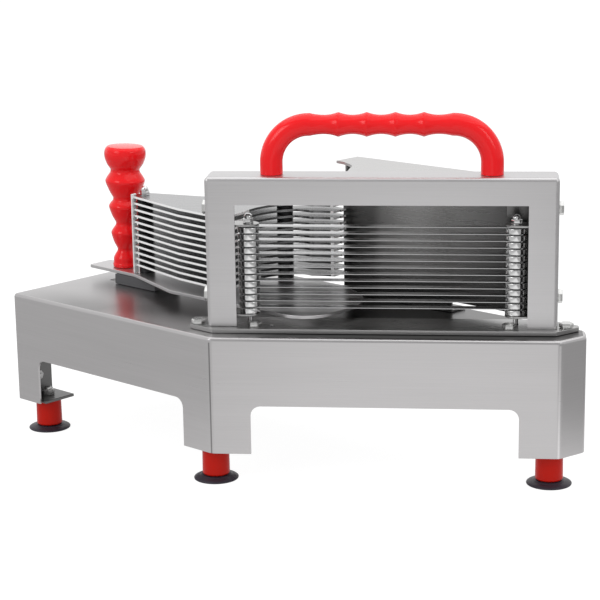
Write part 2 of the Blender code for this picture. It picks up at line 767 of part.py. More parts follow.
def make_frame_plate(front, finish):
    """Make the thick plate under the blade frame."""
    corners = base_corners()
    right, chamfer, back = corners[2], corners[3], corners[4]
    margin = PLATE_EDGE_MARGIN
    knee_y = PLATE_SETBACK
    left_x = -PLATE_LEFT_OVERHANG
    left_y = knee_y + PLATE_LEFT_DEPTH
    knee_x = left_x + PLATE_LEFT_DEPTH / math.tan(TRAVEL_ANGLE)
    slope = math.tan(CHAMFER_ANGLE)
    right_x = chamfer[0] - margin - SHEET
    right_y = back[1] - margin - SHEET
    turn_x = right_x - (right_y - knee_y) / slope
    plate_back = knee_y + PLATE_REACH
    edge = BASE_WIDTH - margin
    sine, cosine = math.sin(TRAVEL_ANGLE), math.cos(TRAVEL_ANGLE)
    back_x = (edge - plate_back * cosine) / sine
    side_y = (edge - right_x * sine) / cosine
    outline_corners = [
        (left_x, left_y), (knee_x, knee_y), (turn_x, knee_y), (right_x, right_y),
    ]
    if side_y > right_y + PLATE_CORNER_RADIUS:
        outline_corners.append((right_x, side_y))
    outline_corners += [(back_x, plate_back), (left_x, plate_back)]
    radius = PLATE_CORNER_RADIUS
    outline = rounded(outline_corners, [radius] * len(outline_corners), CORNER_STEPS)
    holes = [bore_outline(place, BOLT_RADIUS) for place in plate_bolt_places()]
    for x in (ROD_LEFT, ROD_RIGHT):
        holes.append(bore_outline((x, BLADE_Y), ROD_RADIUS))
    left_bolt, right_bolt = plate_bolt_places()[1:3]
    drain_y = PLATE_SETBACK + DRAIN_SETBACK
    holes.append(circle((left_bolt[0] + DRAIN_OFFSET, drain_y), DRAIN_RADIUS, BORE_SIDES))
    holes.append(circle((right_bolt[0] - DRAIN_OFFSET, drain_y), DRAIN_RADIUS, BORE_SIDES))
    add_part("frame_plate", prism(outline, PLATE_BOTTOM, PLATE_TOP, holes), finish, front)


def make_blade_frame(front, finish):
    """Fold the portal: a front with its window, and outer walls behind it."""
    upright = Matrix(((1, 0, 0, 0), (0, 0, -1, 0), (0, 1, 0, 0), (0, 0, 0, 1)))
    low, high = FRAME_BOTTOM, FRAME_TOP
    window_left = FRAME_LEFT + POST_WIDTH
    window_right = FRAME_RIGHT - POST_WIDTH
    window_top = high - RAIL_HEIGHT
    outline = [
        (FRAME_LEFT, low), (window_left, low), (window_left, window_top),
        (window_right, window_top), (window_right, low), (FRAME_RIGHT, low),
        (FRAME_RIGHT, high), (FRAME_LEFT, high),
    ]
    block = moved(prism(outline, -FRAME_BACK, -FRAME_SETBACK), upright)

    def is_fold(a, b):
        front_edge = max(a.y, b.y) < FRAME_SETBACK + SHEET
        left_edge = max(a.x, b.x) < FRAME_LEFT + SHEET
        right_edge = min(a.x, b.x) > FRAME_RIGHT - SHEET
        top_edge = min(a.z, b.z) > high - SHEET
        level = abs(a.z - b.z) < SHEET and abs(a.y - b.y) < SHEET
        upright_fold = front_edge and (left_edge or right_edge) and not level
        top_fold = front_edge and top_edge
        corner_fold = top_edge and (left_edge or right_edge)
        return upright_fold or top_fold or corner_fold

    block = soften(block, is_fold, FRAME_BEND, BEND_STEPS)
    frame = add_part("blade_frame", block, finish, front)

    hollow = box(
        (FRAME_LEFT + SHEET, FRAME_SETBACK + SHEET, low - OVERRUN),
        (FRAME_RIGHT - SHEET, FRAME_BACK + OVERRUN, high - SHEET),
    )
    inner_bend = FRAME_BEND - SHEET

    def is_inner_fold(a, b):
        front_edge = max(a.y, b.y) < FRAME_SETBACK + SHEET + inner_bend
        top_edge = min(a.z, b.z) > high - SHEET - inner_bend
        upright_edge = abs(a.z - b.z) > RAIL_HEIGHT
        side_edge = abs(a.y - b.y) > FRAME_DEPTH / 2
        return (front_edge and (top_edge or upright_edge)) or (top_edge and side_edge)

    hollow = soften(hollow, is_inner_fold, inner_bend, CORNER_STEPS)
    combine(frame, "frame_hollow_cutter", hollow, "DIFFERENCE")

    holes = []
    for x in (FRAME_LEFT, FRAME_RIGHT):
        for height in tension_heights():
            hole = prism(bore_outline((0, 0), BOLT_RADIUS), -SHEET - OVERRUN, SHEET + OVERRUN)
            hole = moved(hole, Matrix.Rotation(math.pi / 2, 4, "Y"))
            holes.append(moved(hole, Matrix.Translation((x, BLADE_Y, height))))
    for x in handle_legs():
        outline = bore_outline((x, BLADE_Y), HANDLE_BOLT_RADIUS)
        holes.append(prism(outline, high - SHEET - OVERRUN, high + OVERRUN))
    combine(frame, "frame_hole_cutter", joined(holes), "DIFFERENCE")


def tension_heights():
    """Give the heights of the upper and lower tension bolts."""
    return (FRAME_TOP - TENSION_TOP_DROP, FRAME_BOTTOM + TENSION_BOTTOM_RISE)


def handle_legs():
    """Give the x of the two legs of the top handle."""
    return (FRAME_MIDDLE - HANDLE_SPAN / 2, FRAME_MIDDLE + HANDLE_SPAN / 2)


def blade_shape():
    """Make one blade: round ends, two holes and a back edge ground on both faces."""
    half = BLADE_WIDTH / 2
    left, right = ROD_LEFT - BLADE_END, ROD_RIGHT + BLADE_END
    end = half / 2
    corners = [(left, -half), (right, -half), (right, half), (left, half)]
    outline = rounded(corners, [end] * 4, CORNER_STEPS)
    holes = [bore_outline((x, 0), ROD_RADIUS) for x in (ROD_LEFT, ROD_RIGHT)]
    blank = prism(outline, -BLADE_STOCK, 0, holes)
    bmesh.ops.bisect_plane(
        blank, geom=blank.verts[:] + blank.edges[:] + blank.faces[:],
        plane_co=(0, half - BLADE_BEVEL, 0), plane_no=(0, 1, 0),
    )
    for vertex in blank.verts:
        past = vertex.co.y - (half - BLADE_BEVEL)
        if past <= 0:
            continue
        middle = -BLADE_STOCK / 2
        taper = 1 - (1 - BLADE_EDGE / BLADE_STOCK) * past / BLADE_BEVEL
        vertex.co.z = middle + (vertex.co.z - middle) * taper
    return blank


def make_blade_stack(front, finishes):
    """Stack the blades and their spacers on the two rods."""
    first = add_part("blade_01", blade_shape(), finishes["blade"], front, (0, BLADE_Y, BLADE_TOP))
    for i in range(1, BLADE_COUNT):
        height = BLADE_TOP - i * BLADE_PITCH
        add_copy(f"blade_{i + 1:02d}", first.data, front, (0, BLADE_Y, height))

    nut_bottom = BLADE_TOP + HOLDER_STOCK + 2 * SEAT_GAP
    profile = [(0, PLATE_BOTTOM), (ROD_RADIUS, PLATE_BOTTOM)]
    for i in reversed(range(BLADE_COUNT)):
        top = BLADE_TOP - i * BLADE_PITCH - BLADE_STOCK - SEAT_GAP
        bottom = top - SPACER_HEIGHT
        profile += ring_profile(ROD_RADIUS, SPACER_RADIUS, bottom, top)
    profile += acorn_profile(ROD_RADIUS, nut_bottom)
    for side, x in (("left", ROD_LEFT), ("right", ROD_RIGHT)):
        rod = turned(profile, SPACER_SIDES, (x, BLADE_Y))
        add_part("blade_rod_" + side, rod, finishes["chrome"], front)


def ring_profile(inner, outer, bottom, top):
    """Draw one spacer round a rod."""
    return [(inner, bottom), (outer, bottom), (outer, top), (inner, top)]


def acorn_profile(inner, bottom):
    """Draw an acorn nut on the end of a rod."""
    dome = bottom + ACORN_HEIGHT / 2
    return [
        (inner, bottom), (ACORN_RADIUS, bottom), (ACORN_RADIUS, dome),
        (ACORN_RADIUS * math.cos(math.pi / 6), dome + ACORN_HEIGHT / 4),
        (ACORN_RADIUS * math.cos(math.pi / 3), dome + ACORN_HEIGHT * math.sqrt(3) / 4),
        (0, bottom + ACORN_HEIGHT),
    ]


def holder_shape():
    """Make the left rod holder: a web with a rounded arm above and below."""
    web_left = FRAME_LEFT + HOLDER_WEB_INSET
    web_right = web_left + HOLDER_WEB
    half = SPACER_RADIUS
    arm = [(web_left, BLADE_Y - half)]
    arm += arc((ROD_LEFT, BLADE_Y), half, -math.pi / 2, math.pi / 2, 2 * ARC_STEPS)
    arm += [(web_left, BLADE_Y + half)]
    hole = bore_outline((ROD_LEFT, BLADE_Y), ROD_RADIUS)
    top_low = BLADE_TOP + SEAT_GAP
    bottom_high = STACK_BOTTOM - SEAT_GAP
    web_outline = [
        (web_left, BLADE_Y - half), (web_right, BLADE_Y - half),
        (web_right, BLADE_Y + half), (web_left, BLADE_Y + half),
    ]
    web = prism(web_outline, bottom_high - HOLDER_STOCK, top_low + HOLDER_STOCK + HOLDER_RISE)
    upper = prism(arm, top_low, top_low + HOLDER_STOCK, [hole])
    lower = prism(arm, bottom_high - HOLDER_STOCK, bottom_high, [hole])
    bores = []
    for height in tension_heights():
        bore = prism(bore_outline((0, 0), BOLT_RADIUS), -OVERRUN, HOLDER_WEB + OVERRUN)
        bore = moved(bore, Matrix.Rotation(math.pi / 2, 4, "Y"))
        bores.append(moved(bore, Matrix.Translation((web_left, BLADE_Y, height))))
    return web, joined([upper, lower]), joined(bores)


def make_rod_holders(front, finishes):
    """Make both rod holders and the bolts that pull them outwards."""
    mirror = Matrix.Translation((2 * FRAME_MIDDLE, 0, 0)) @ Matrix.Scale(-1, 4, (1, 0, 0))
    for side in ("left", "right"):
        web, arms, bores = holder_shape()
        if side == "right":
            web, arms, bores = moved(web, mirror), moved(arms, mirror), moved(bores, mirror)
        holder = add_part("rod_holder_" + side, web, finishes["plate"], front)
        combine(holder, "holder_arms_" + side, arms, "UNION")
        combine(holder, "holder_bore_cutter_" + side, bores, "DIFFERENCE")

    reach = HOLDER_WEB_INSET + HOLDER_WEB
    profile = [
        (0, BOLT_HEAD_HEIGHT), (BOLT_HEAD_RADIUS, BOLT_HEAD_HEIGHT), (BOLT_HEAD_RADIUS, SEAT_GAP),
        (BOLT_RADIUS, SEAT_GAP), (BOLT_RADIUS, -reach), (0, -reach),
    ]
    mesh = None
    for side, x, turn in (("left", FRAME_LEFT, -1), ("right", FRAME_RIGHT, 1)):
        for level, height in zip(("upper", "lower"), tension_heights()):
            name = f"tension_bolt_{side}_{level}"
            if mesh is None:
                bolt = add_part(name, turned(profile, HEX_SIDES), finishes["fixing"], front)
                mesh = bolt.data
            else:
                bolt = add_copy(name, mesh, front)
            bolt.location = (x, BLADE_Y, height)
            bolt.rotation_euler.y = turn * math.pi / 2


def grip_radius(offset):
    """Give the handle's radius at a distance from the middle of its grip."""
    span = abs(offset)
    ridge_end = GRIP_PITCH * GRIP_RIDGES / 2 + GRIP_PITCH / 2
    if span >= ridge_end:
        return HANDLE_RADIUS
    valley = round(span / GRIP_PITCH) * GRIP_PITCH
    share = 2 * abs(span - valley) / GRIP_PITCH
    crest = GRIP_RIDGE_RADIUS
    if span > valley and valley > GRIP_PITCH * (GRIP_RIDGES - 1) / 2:
        crest = HANDLE_RADIUS
    return GRIP_VALLEY_RADIUS + (crest - GRIP_VALLEY_RADIUS) * share ** 2


def handle_path():
    """List the handle's rings: x and z of the middle, lean and radius."""
    foot = FRAME_TOP + SEAT_GAP
    left, right = handle_legs()
    rings = [(left, foot, 0.0, HANDLE_RADIUS)]
    steps = HANDLE_STEPS
    bend_z = foot + HANDLE_RISE - HANDLE_BEND
    for i in range(steps + 1):
        lean = math.pi / 2 * i / steps
        x = left + HANDLE_BEND * (1 - math.cos(lean))
        z = bend_z + HANDLE_BEND * math.sin(lean)
        rings.append((x, z, lean, HANDLE_RADIUS))
    reach = GRIP_PITCH * (GRIP_RIDGES + 1) / 2
    count = GRIP_STEPS * (GRIP_RIDGES + 1)
    for i in range(count + 1):
        offset = -reach + 2 * reach * i / count
        rings.append((FRAME_MIDDLE + offset, foot + HANDLE_RISE, math.pi / 2, grip_radius(offset)))
    for i in range(steps + 1):
        lean = math.pi / 2 * (1 + i / steps)
        x = right - HANDLE_BEND * (1 + math.cos(lean))
        z = bend_z + HANDLE_BEND * math.sin(lean)
        rings.append((x, z, lean, HANDLE_RADIUS))
    rings.append((right, foot, math.pi, HANDLE_RADIUS))
    return rings


def make_top_handle(front, finishes):
    """Sweep the carrying handle with its finger grip, and set in its studs."""
    shape = bmesh.new()
    rings = []
    for x, z, lean, radius in handle_path():
        ring = []
        for i in range(HANDLE_SIDES):
            angle = math.tau * i / HANDLE_SIDES
            side, out = radius * math.sin(angle), radius * math.cos(angle)
            place = (x - out * math.cos(lean), BLADE_Y + side, z + out * math.sin(lean))
            ring.append(shape.verts.new(place))
        rings.append(ring)
    for ring, after in zip(rings, rings[1:]):
        for i in range(HANDLE_SIDES):
            j = (i + 1) % HANDLE_SIDES
            shape.faces.new((ring[i], ring[j], after[j], after[i]))
    shape.faces.new(rings[0])
    shape.faces.new(rings[-1])
    bmesh.ops.recalc_face_normals(shape, faces=shape.faces)
    handle = add_part("top_handle", shape, finishes["red"], front)
    seat = FRAME_TOP - SHEET - SEAT_GAP
    nut = HANDLE_BOLT_RADIUS + BOLT_RADIUS
    profile = [
        (0, FRAME_TOP + HANDLE_RADIUS), (HANDLE_BOLT_RADIUS, FRAME_TOP + HANDLE_RADIUS),
        (HANDLE_BOLT_RADIUS, seat), (nut, seat), (nut, seat - BOLT_HEAD_HEIGHT),
        (0, seat - BOLT_HEAD_HEIGHT),
    ]
    studs = [turned(profile, HEX_SIDES, (x, BLADE_Y)) for x in handle_legs()]
    combine(handle, "handle_stud_join", joined(studs), "UNION")


def behind_frame(offset):
    """Give how far along the travel a line meets the back of the frame."""
    sine, cosine = math.sin(TRAVEL_ANGLE), math.cos(TRAVEL_ANGLE)
    return (offset * cosine - FRAME_BACK - SEAT_GAP) / sine


def make_fence(travel, finish):
    """Fold the fence: wall, foot, end return over the slats, hooked top, rear flange."""
    inner, outer = FENCE_OFFSET, FENCE_OFFSET + SHEET
    end = behind_frame(inner)
    bottom = PLATE_BOTTOM
    nose = FENCE_START - FENCE_NOSE
    wall_outline = [
        (nose, bottom), (FENCE_FOOT_END, bottom),
        (FENCE_FOOT_END, FENCE_RAISED_EDGE), (end, FENCE_RAISED_EDGE),
        (end, FENCE_TOP), (FENCE_START, FENCE_TOP),
        (FENCE_START, FENCE_NOSE_TOP), (nose, FENCE_NOSE_TOP),
    ]
    upright = Matrix(((1, 0, 0, 0), (0, 0, -1, 0), (0, 1, 0, 0), (0, 0, 0, 1)))
    wall = moved(prism(wall_outline, -outer, -inner), upright)
    fence = add_part("fence", wall, finish, travel)

    foot = box((FENCE_START, inner, bottom), (FENCE_FOOT_END, outer + FENCE_FOOT_WIDTH, bottom + SHEET))
    end_return = box(
        (FENCE_START, inner - FENCE_RETURN, BASE_TOP + SLAT_TOP + FENCE_CLEARANCE),
        (FENCE_START + SHEET, outer, FENCE_TOP),
    )
    tip = outer - FENCE_HOOK
    hook_end = FENCE_START + FENCE_HOOK_REACH
    near = outer - FENCE_TOP_WIDTH
    hook = []
    for i in range(ARC_STEPS + 1):
        angle = math.pi / 2 * i / ARC_STEPS
        x = hook_end - FENCE_HOOK_REACH * math.sin(angle)
        y = tip + (near - tip) * math.cos(angle)
        hook.append((x, y))
    top_outline = [(FENCE_START, outer)] + hook[::-1]
    top_outline += [(behind_frame(near), near), (end, inner), (end, outer)]
    top = prism(top_outline, FENCE_TOP - SHEET, FENCE_TOP)
    combine(fence, "fence_foot_join", foot, "UNION")
    combine(fence, "fence_return_join", end_return, "UNION")
    combine(fence, "fence_top_join", top, "UNION")

    corner = across(end, FENCE_OFFSET)
    flange_y = FRAME_BACK + SEAT_GAP
    left = corner[0] - SHEET
    low = (left, flange_y, FENCE_RAISED_EDGE)
    high = (left + FENCE_FLANGE, flange_y + SHEET, FENCE_TOP)
    flange = box(low, high)
    flange = moved(flange, Matrix.Rotation(TRAVEL_ANGLE, 4, "Z"))
    combine(fence, "fence_flange_join", flange, "UNION")

    studs = []
    for x, y in fence_bolt_places():
        s, n = along(x, y)
        stud = moved(weld_stud(SHEET + SEAT_GAP, (s, -n)), Matrix.Rotation(math.pi, 4, "X"))
        studs.append(moved(stud, Matrix.Translation((0, 0, bottom))))
    combine(fence, "fence_stud_join", joined(studs), "UNION")


def rod_places():
    """List the slat rods in the carriage's own frame."""
    return [(TAIL_ROD_X, 0), (MIDDLE_ROD_X, MIDDLE_ROD_Y), (FAR_ROD_X, FAR_ROD_Y)]


def near_limit():
    """Give how near to the left post and rod the carriage may reach."""
    stack_n = along(ROD_LEFT, BLADE_Y)[1] + SPACER_RADIUS
    post_n = along(FRAME_LEFT + POST_WIDTH, FRAME_BACK)[1]
    return max(stack_n, post_n) + CARRIAGE_CLEARANCE - RAIL_OFFSET


def make_carriage(slide, finishes):
    """Make the carriage plate, the slider in the slot and its keeper."""
    near = near_limit()
    half_tail = CARRIAGE_TAIL_WIDTH / 2
    corners = [
        (CARRIAGE_TAIL, -half_tail), (TAIL_SHOULDER, -half_tail - SHEET),
        (WING_START, near), (CARRIAGE_FRONT, near),
        (CARRIAGE_FRONT, CARRIAGE_FAR), (FAR_WING_START, CARRIAGE_FAR),
        (TAIL_SHOULDER, half_tail + SHEET), (CARRIAGE_TAIL, half_tail),
    ]
    corner = CARRIAGE_CORNER
    radii = (SHEET, corner, corner, corner, CARRIAGE_FAR_CORNER, corner, corner, SHEET)
    outline = rounded(corners, radii, ARC_STEPS)
    holes = [bore_outline(place, SLAT_ROD_RADIUS) for place in rod_places()]
    holes.append(bore_outline((KNOB_X, 0), KNOB_BOLT_RADIUS))
    plate = prism(outline, CARRIAGE_BOTTOM, CARRIAGE_TOP, holes)
    add_part("carriage_plate", plate, finishes["sheet"], slide)

    end = SLIDER_START + SLIDER_LENGTH
    hole = bore_outline((TAIL_ROD_X, 0), SLAT_ROD_RADIUS)

    def slab(half, bottom, top):
        outline = [(SLIDER_START, -half), (end, -half), (end, half), (SLIDER_START, half)]
        return prism(outline, bottom, top, [hole])

    keeper_top = -SHEET - RUNNING_GAP
    tongue = SLOT_WIDTH / 2 - RUNNING_GAP
    block = slab(SLIDER_WIDTH / 2, RUNNING_GAP / 2, CARRIAGE_BOTTOM - SEAT_GAP)
    part = add_part("slider_block", block, finishes["nylon"], slide)
    combine(part, "slider_tongue_join", slab(tongue, keeper_top + SEAT_GAP, CARRIAGE_LIFT / 2), "UNION")
    keeper = slab(SLIDER_WIDTH / 2, keeper_top - KEEPER_STOCK, keeper_top)
    add_part("slider_keeper", keeper, finishes["plate"], slide)


def slat_outline():
    """Draw one slat: tail, near edge, fruit cup and far prong."""
    centre = (CUP_CENTRE_X, CUP_CENTRE_Y)
    half_tail = SLAT_TAIL_WIDTH / 2
    cup = arc(centre, PUSHER_RADIUS, CUP_START_ANGLE, PRONG_TIP_ANGLE, CUP_STEPS)
    back_radius = PUSHER_RADIUS + PRONG_WIDTH
    back = arc(centre, back_radius, PRONG_TIP_ANGLE, PRONG_ROOT_ANGLE, PRONG_STEPS)
    near = rounded(
        [
            (SLAT_TAIL, -half_tail), (SLAT_BEND_ONE, -SLAT_BEND_ONE_OFFSET),
            (SLAT_BEND_TWO, -SLAT_NEAR_OFFSET), (SLAT_NEAR_END, -SLAT_NEAR_OFFSET + SHEET), cup[0],
        ],
        (0, 0, 0, SLAT_CORNER, 0), CORNER_STEPS,
    )
    far = [(SLAT_FAR_BEND, SLAT_FAR_OFFSET), (SLAT_TAIL, half_tail)]
    return near + cup[1:] + back + far


def slat_level(i):
    """Give the top of one slat above the base."""
    return SLAT_TOP - i * BLADE_PITCH


def make_slats(slide, finishes):
    """Make the pusher: slats, rods with their spacers, and comb."""
    holes = [bore_outline(place, SLAT_ROD_RADIUS) for place in rod_places()]
    shape = prism(slat_outline(), -SLAT_STOCK, 0, holes)
    first = add_part("pusher_slat_01", shape, finishes["slat"], slide, (0, 0, slat_level(0)))
    for i in range(1, SLAT_COUNT):
        add_copy(f"pusher_slat_{i + 1:02d}", first.data, slide, (0, 0, slat_level(i)))

    for name, place in zip(("tail", "middle", "far"), rod_places()):
        seat = CARRIAGE_BOTTOM - SEAT_GAP
        if name == "tail":
            seat = -SHEET - RUNNING_GAP - KEEPER_STOCK - SEAT_GAP
        profile = [
            (0, seat - BOLT_HEAD_HEIGHT), (SLAT_NUT_RADIUS, seat - BOLT_HEAD_HEIGHT),
            (SLAT_NUT_RADIUS, seat), (SLAT_ROD_RADIUS, seat),
        ]
        bottom = CARRIAGE_TOP + SEAT_GAP
        for i in reversed(range(SLAT_COUNT)):
            top = slat_level(i) - SLAT_STOCK - SEAT_GAP
            profile += ring_profile(SLAT_ROD_RADIUS, SLAT_SPACER_RADIUS, bottom, top)
            bottom = slat_level(i) + SEAT_GAP
        profile += acorn_profile(SLAT_ROD_RADIUS, bottom)
        rod = turned(profile, SLAT_SPACER_SIDES, place)
        add_part("slat_rod_" + name, rod, finishes["dark"], slide)
    make_comb(slide, finishes)


def make_comb(slide, finishes):
    """Make the comb that keeps the slat tails apart."""
    half_tail = SLAT_TAIL_WIDTH / 2
    run = (COMB_X - SLAT_TAIL) / (SLAT_BEND_ONE - SLAT_TAIL)
    edge = -half_tail - run * (SLAT_BEND_ONE_OFFSET - half_tail) - SEAT_GAP
    spine = edge - COMB_SPINE
    tooth = edge + COMB_TOOTH
    outline = [(spine, CARRIAGE_TOP + SEAT_GAP), (tooth, CARRIAGE_TOP + SEAT_GAP)]
    for i in reversed(range(SLAT_COUNT)):
        low = slat_level(i) - SLAT_STOCK - SEAT_GAP
        high = slat_level(i) + SEAT_GAP
        outline += [(tooth, low), (edge, low), (edge, high), (tooth, high)]
    top = slat_level(0) + SLAT_STOCK
    outline += [(tooth, top), (spine, top)]
    shape = prism(outline, 0, COMB_STOCK)
    stand = Matrix(((0, 0, 1, COMB_X), (1, 0, 0, 0), (0, 1, 0, 0), (0, 0, 0, 1)))
    add_part("slat_comb", moved(shape, stand), finishes["plate"], slide)


def make_knob(slide, finishes):
    """Turn the ribbed push knob with its stud and the nut below the plate."""
    foot = CARRIAGE_TOP + SEAT_GAP
    seat = CARRIAGE_BOTTOM - SEAT_GAP
    profile = [
        (0, seat - BOLT_HEAD_HEIGHT), (KNOB_NUT_RADIUS, seat - BOLT_HEAD_HEIGHT),
        (KNOB_NUT_RADIUS, seat), (KNOB_BOLT_RADIUS, seat), (KNOB_BOLT_RADIUS, foot),
    ]
    for height_share, radius_share in KNOB_PROFILE_SHARES:
        profile.append((KNOB_RADIUS * radius_share, foot + KNOB_HEIGHT * height_share))
    profile.append((0, foot + KNOB_HEIGHT))
    add_part("knob", turned(profile, KNOB_SIDES), finishes["red"], slide, (KNOB_X, 0, 0))


def main():
    """Clear the scene and build the slicer."""
    for item in list(bpy.data.objects):
        bpy.data.objects.remove(item)
    finishes = make_finishes()
    front, travel, slide = make_frames()
    make_base_shell(front, finishes["sheet"])
    make_feet(front, finishes)
    make_plate_bolts(front, finishes["fixing"])
    make_frame_plate(front, finishes["plate"])
    make_blade_frame(front, finishes["sheet"])
    make_blade_stack(front, finishes)
    make_rod_holders(front, finishes)
    make_top_handle(front, finishes)
    make_fence(travel, finishes["sheet"])
    make_carriage(slide, finishes)
    make_slats(slide, finishes)
    make_knob(slide, finishes)


main()
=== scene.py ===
# %% [markdown]
# # Dressing a tomato slicer
#
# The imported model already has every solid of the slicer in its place: a folded
# steel stand, a frame with thirteen level blades, and a carriage whose slats
# slide between them. This lesson gives those solids the surfaces of the real
# thing. Each step says what the piece is, how it could be made and why this way
# was chosen.

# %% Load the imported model
import math

import bmesh
import bpy
from mathutils import Matrix, Vector
from mathutils.geometry import interpolate_bezier


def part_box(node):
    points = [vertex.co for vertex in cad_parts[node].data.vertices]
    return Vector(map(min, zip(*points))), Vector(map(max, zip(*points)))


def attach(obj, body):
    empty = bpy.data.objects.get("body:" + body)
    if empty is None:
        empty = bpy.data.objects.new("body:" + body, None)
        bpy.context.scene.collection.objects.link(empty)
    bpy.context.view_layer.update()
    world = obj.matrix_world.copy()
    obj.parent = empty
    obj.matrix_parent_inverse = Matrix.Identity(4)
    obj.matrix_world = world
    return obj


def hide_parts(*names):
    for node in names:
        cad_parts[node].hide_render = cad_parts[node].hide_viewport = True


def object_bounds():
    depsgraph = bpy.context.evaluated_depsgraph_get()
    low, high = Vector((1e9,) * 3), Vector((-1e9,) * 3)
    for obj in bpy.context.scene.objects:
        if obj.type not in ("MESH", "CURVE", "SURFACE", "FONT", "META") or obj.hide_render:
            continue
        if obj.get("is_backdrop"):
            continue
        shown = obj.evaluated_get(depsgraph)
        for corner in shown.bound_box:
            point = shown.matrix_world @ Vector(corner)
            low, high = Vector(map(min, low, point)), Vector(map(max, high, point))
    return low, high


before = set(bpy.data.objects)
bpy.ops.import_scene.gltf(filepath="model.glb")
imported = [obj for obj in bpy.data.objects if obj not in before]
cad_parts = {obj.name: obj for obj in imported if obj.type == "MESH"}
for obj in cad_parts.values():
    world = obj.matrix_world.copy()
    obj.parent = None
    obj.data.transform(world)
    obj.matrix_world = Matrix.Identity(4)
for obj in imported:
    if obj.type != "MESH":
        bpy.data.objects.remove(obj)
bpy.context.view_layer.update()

# %% [markdown]
# ## The camera
#
# The photograph was taken from about a metre and a half away, a little to the
# right of the middle and looking down by thirteen degrees. A long lens keeps
# the front panel almost square. The place and the lens were worked out from
# the straight edges of the stand, so they are written here as plain sizes.

# %% Camera
CAMERA_PLACE = Vector((0.16276, -1.55285, 0.49297))
CAMERA_TURN = math.radians(5.77)
CAMERA_DROP = math.radians(13.53)
CAMERA_ROLL = math.radians(-0.88)
PHOTO_WIDTH = 600
FOCAL_PIXELS = 1846.0
SENSOR = 36.0


def camera_matrix():
    """Point the camera by its turn, its drop and its roll."""
    ahead = Vector((
        -math.sin(CAMERA_TURN) * math.cos(CAMERA_DROP),
        math.cos(CAMERA_TURN) * math.cos(CAMERA_DROP),
        -math.sin(CAMERA_DROP),
    ))
    right = Vector((math.cos(CAMERA_TURN), math.sin(CAMERA_TURN), 0))
    up = right.cross(ahead)
    cosine, sine = math.cos(CAMERA_ROLL), math.sin(CAMERA_ROLL)
    rolled_right = cosine * right + sine * up
    rolled_up = cosine * up - sine * right
    turn = Matrix((rolled_right, rolled_up, -ahead)).transposed()
    return Matrix.Translation(CAMERA_PLACE) @ turn.to_4x4()


scene = bpy.context.scene
lens = bpy.data.cameras.new("photo_camera")
lens.sensor_width = SENSOR
lens.lens = FOCAL_PIXELS / PHOTO_WIDTH * SENSOR
lens.clip_start = 0.05
lens.clip_end = 40.0
camera = bpy.data.objects.new("photo_camera", lens)
camera.matrix_world = camera_matrix()
scene.collection.objects.link(camera)
scene.camera = camera
scene.view_settings.view_transform = "Standard"
print("camera lens", round(lens.lens, 1), "mm")

# %% [markdown]
# ## Node networks as sums
#
# Both materials and geometry are networks of nodes. Two small helpers keep
# them readable. A Channel is one socket that Python can add, multiply and so
# on, and each sum leaves a Math node behind. A Network makes any other node
# from its type, its settings and what goes into its sockets.

# %% Channel and Network


class Channel:
    """One output socket that takes part in Python sums."""

    def __init__(self, network, socket):
        self.network = network
        self.socket = socket

    def math(self, operation, first, second):
        sockets = {0: first, 1: second}
        return self.network.node("ShaderNodeMath", {"operation": operation}, sockets)

    def __add__(self, other):
        return self.math("ADD", self, other)

    def __radd__(self, other):
        return self.math("ADD", other, self)

    def __sub__(self, other):
        return self.math("SUBTRACT", self, other)

    def __rsub__(self, other):
        return self.math("SUBTRACT", other, self)

    def __mul__(self, other):
        return self.math("MULTIPLY", self, other)

    def __rmul__(self, other):
        return self.math("MULTIPLY", other, self)

    def __truediv__(self, other):
        return self.math("DIVIDE", self, other)

    def __abs__(self):
        return self.math("ABSOLUTE", self, 0.0)

    def below(self, limit):
        return self.math("LESS_THAN", self, limit)

    def above(self, limit):
        return self.math("GREATER_THAN", self, limit)


class Network:
    """A node tree, with one way of adding a node to it."""

    def __init__(self, tree):
        self.tree = tree

    def node(self, kind, settings=None, sockets=None, output=0):
        made = self.tree.nodes.new(kind)
        for key, value in (settings or {}).items():
            if key == "stops":
                self.set_stops(made, value)
            else:
                setattr(made, key, value)
        for key, value in (sockets or {}).items():
            self.feed(made.inputs[key], value)
        if len(made.outputs) == 0:
            return made
        return Channel(self, made.outputs[output])

    def feed(self, socket, value):
        if isinstance(value, Channel):
            self.tree.links.new(value.socket, socket)
        else:
            socket.default_value = value

    def set_stops(self, made, stops):
        ramp = made.color_ramp.elements
        while len(ramp) < len(stops):
            ramp.new(1.0)
        for element, (place, grey) in zip(ramp, stops):
            element.position = place
            element.color = (grey, grey, grey, 1.0)

    def position(self, space="Object"):
        """Give x, y and z as three channels."""
        place = self.node("ShaderNodeTexCoord", output=space)
        apart = self.node("ShaderNodeSeparateXYZ", sockets={0: place})
        return [Channel(self, socket) for socket in apart.socket.node.outputs]

    def mapped(self, value, source, target, smooth=False):
        """Carry a value from one range to another and hold it at the ends."""
        settings = {"clamp": True}
        if smooth:
            settings["interpolation_type"] = "SMOOTHSTEP"
        sockets = {
            "Value": value, "From Min": source[0], "From Max": source[1],
            "To Min": target[0], "To Max": target[1],
        }
        return self.node("ShaderNodeMapRange", settings, sockets)

    def greys(self, value, stops):
        """Look a value up in a ramp of greys."""
        return self.node("ShaderNodeValToRGB", {"stops": stops}, {0: value})


# %% [markdown]
# ## The studio
#
# The photograph has a pure white ground with hardly any shadow. The floor is a
# pale surface that is mixed with a plain white glow, so that the feet still
# leave a soft shade on it. Steel shows what stands round it, and a real studio
# isn't white all round. So the floor is greyer in reflections at both sides,
# and the world is white to the camera, but in reflections it is lightest
# behind the slicer and greyer in front and overhead.

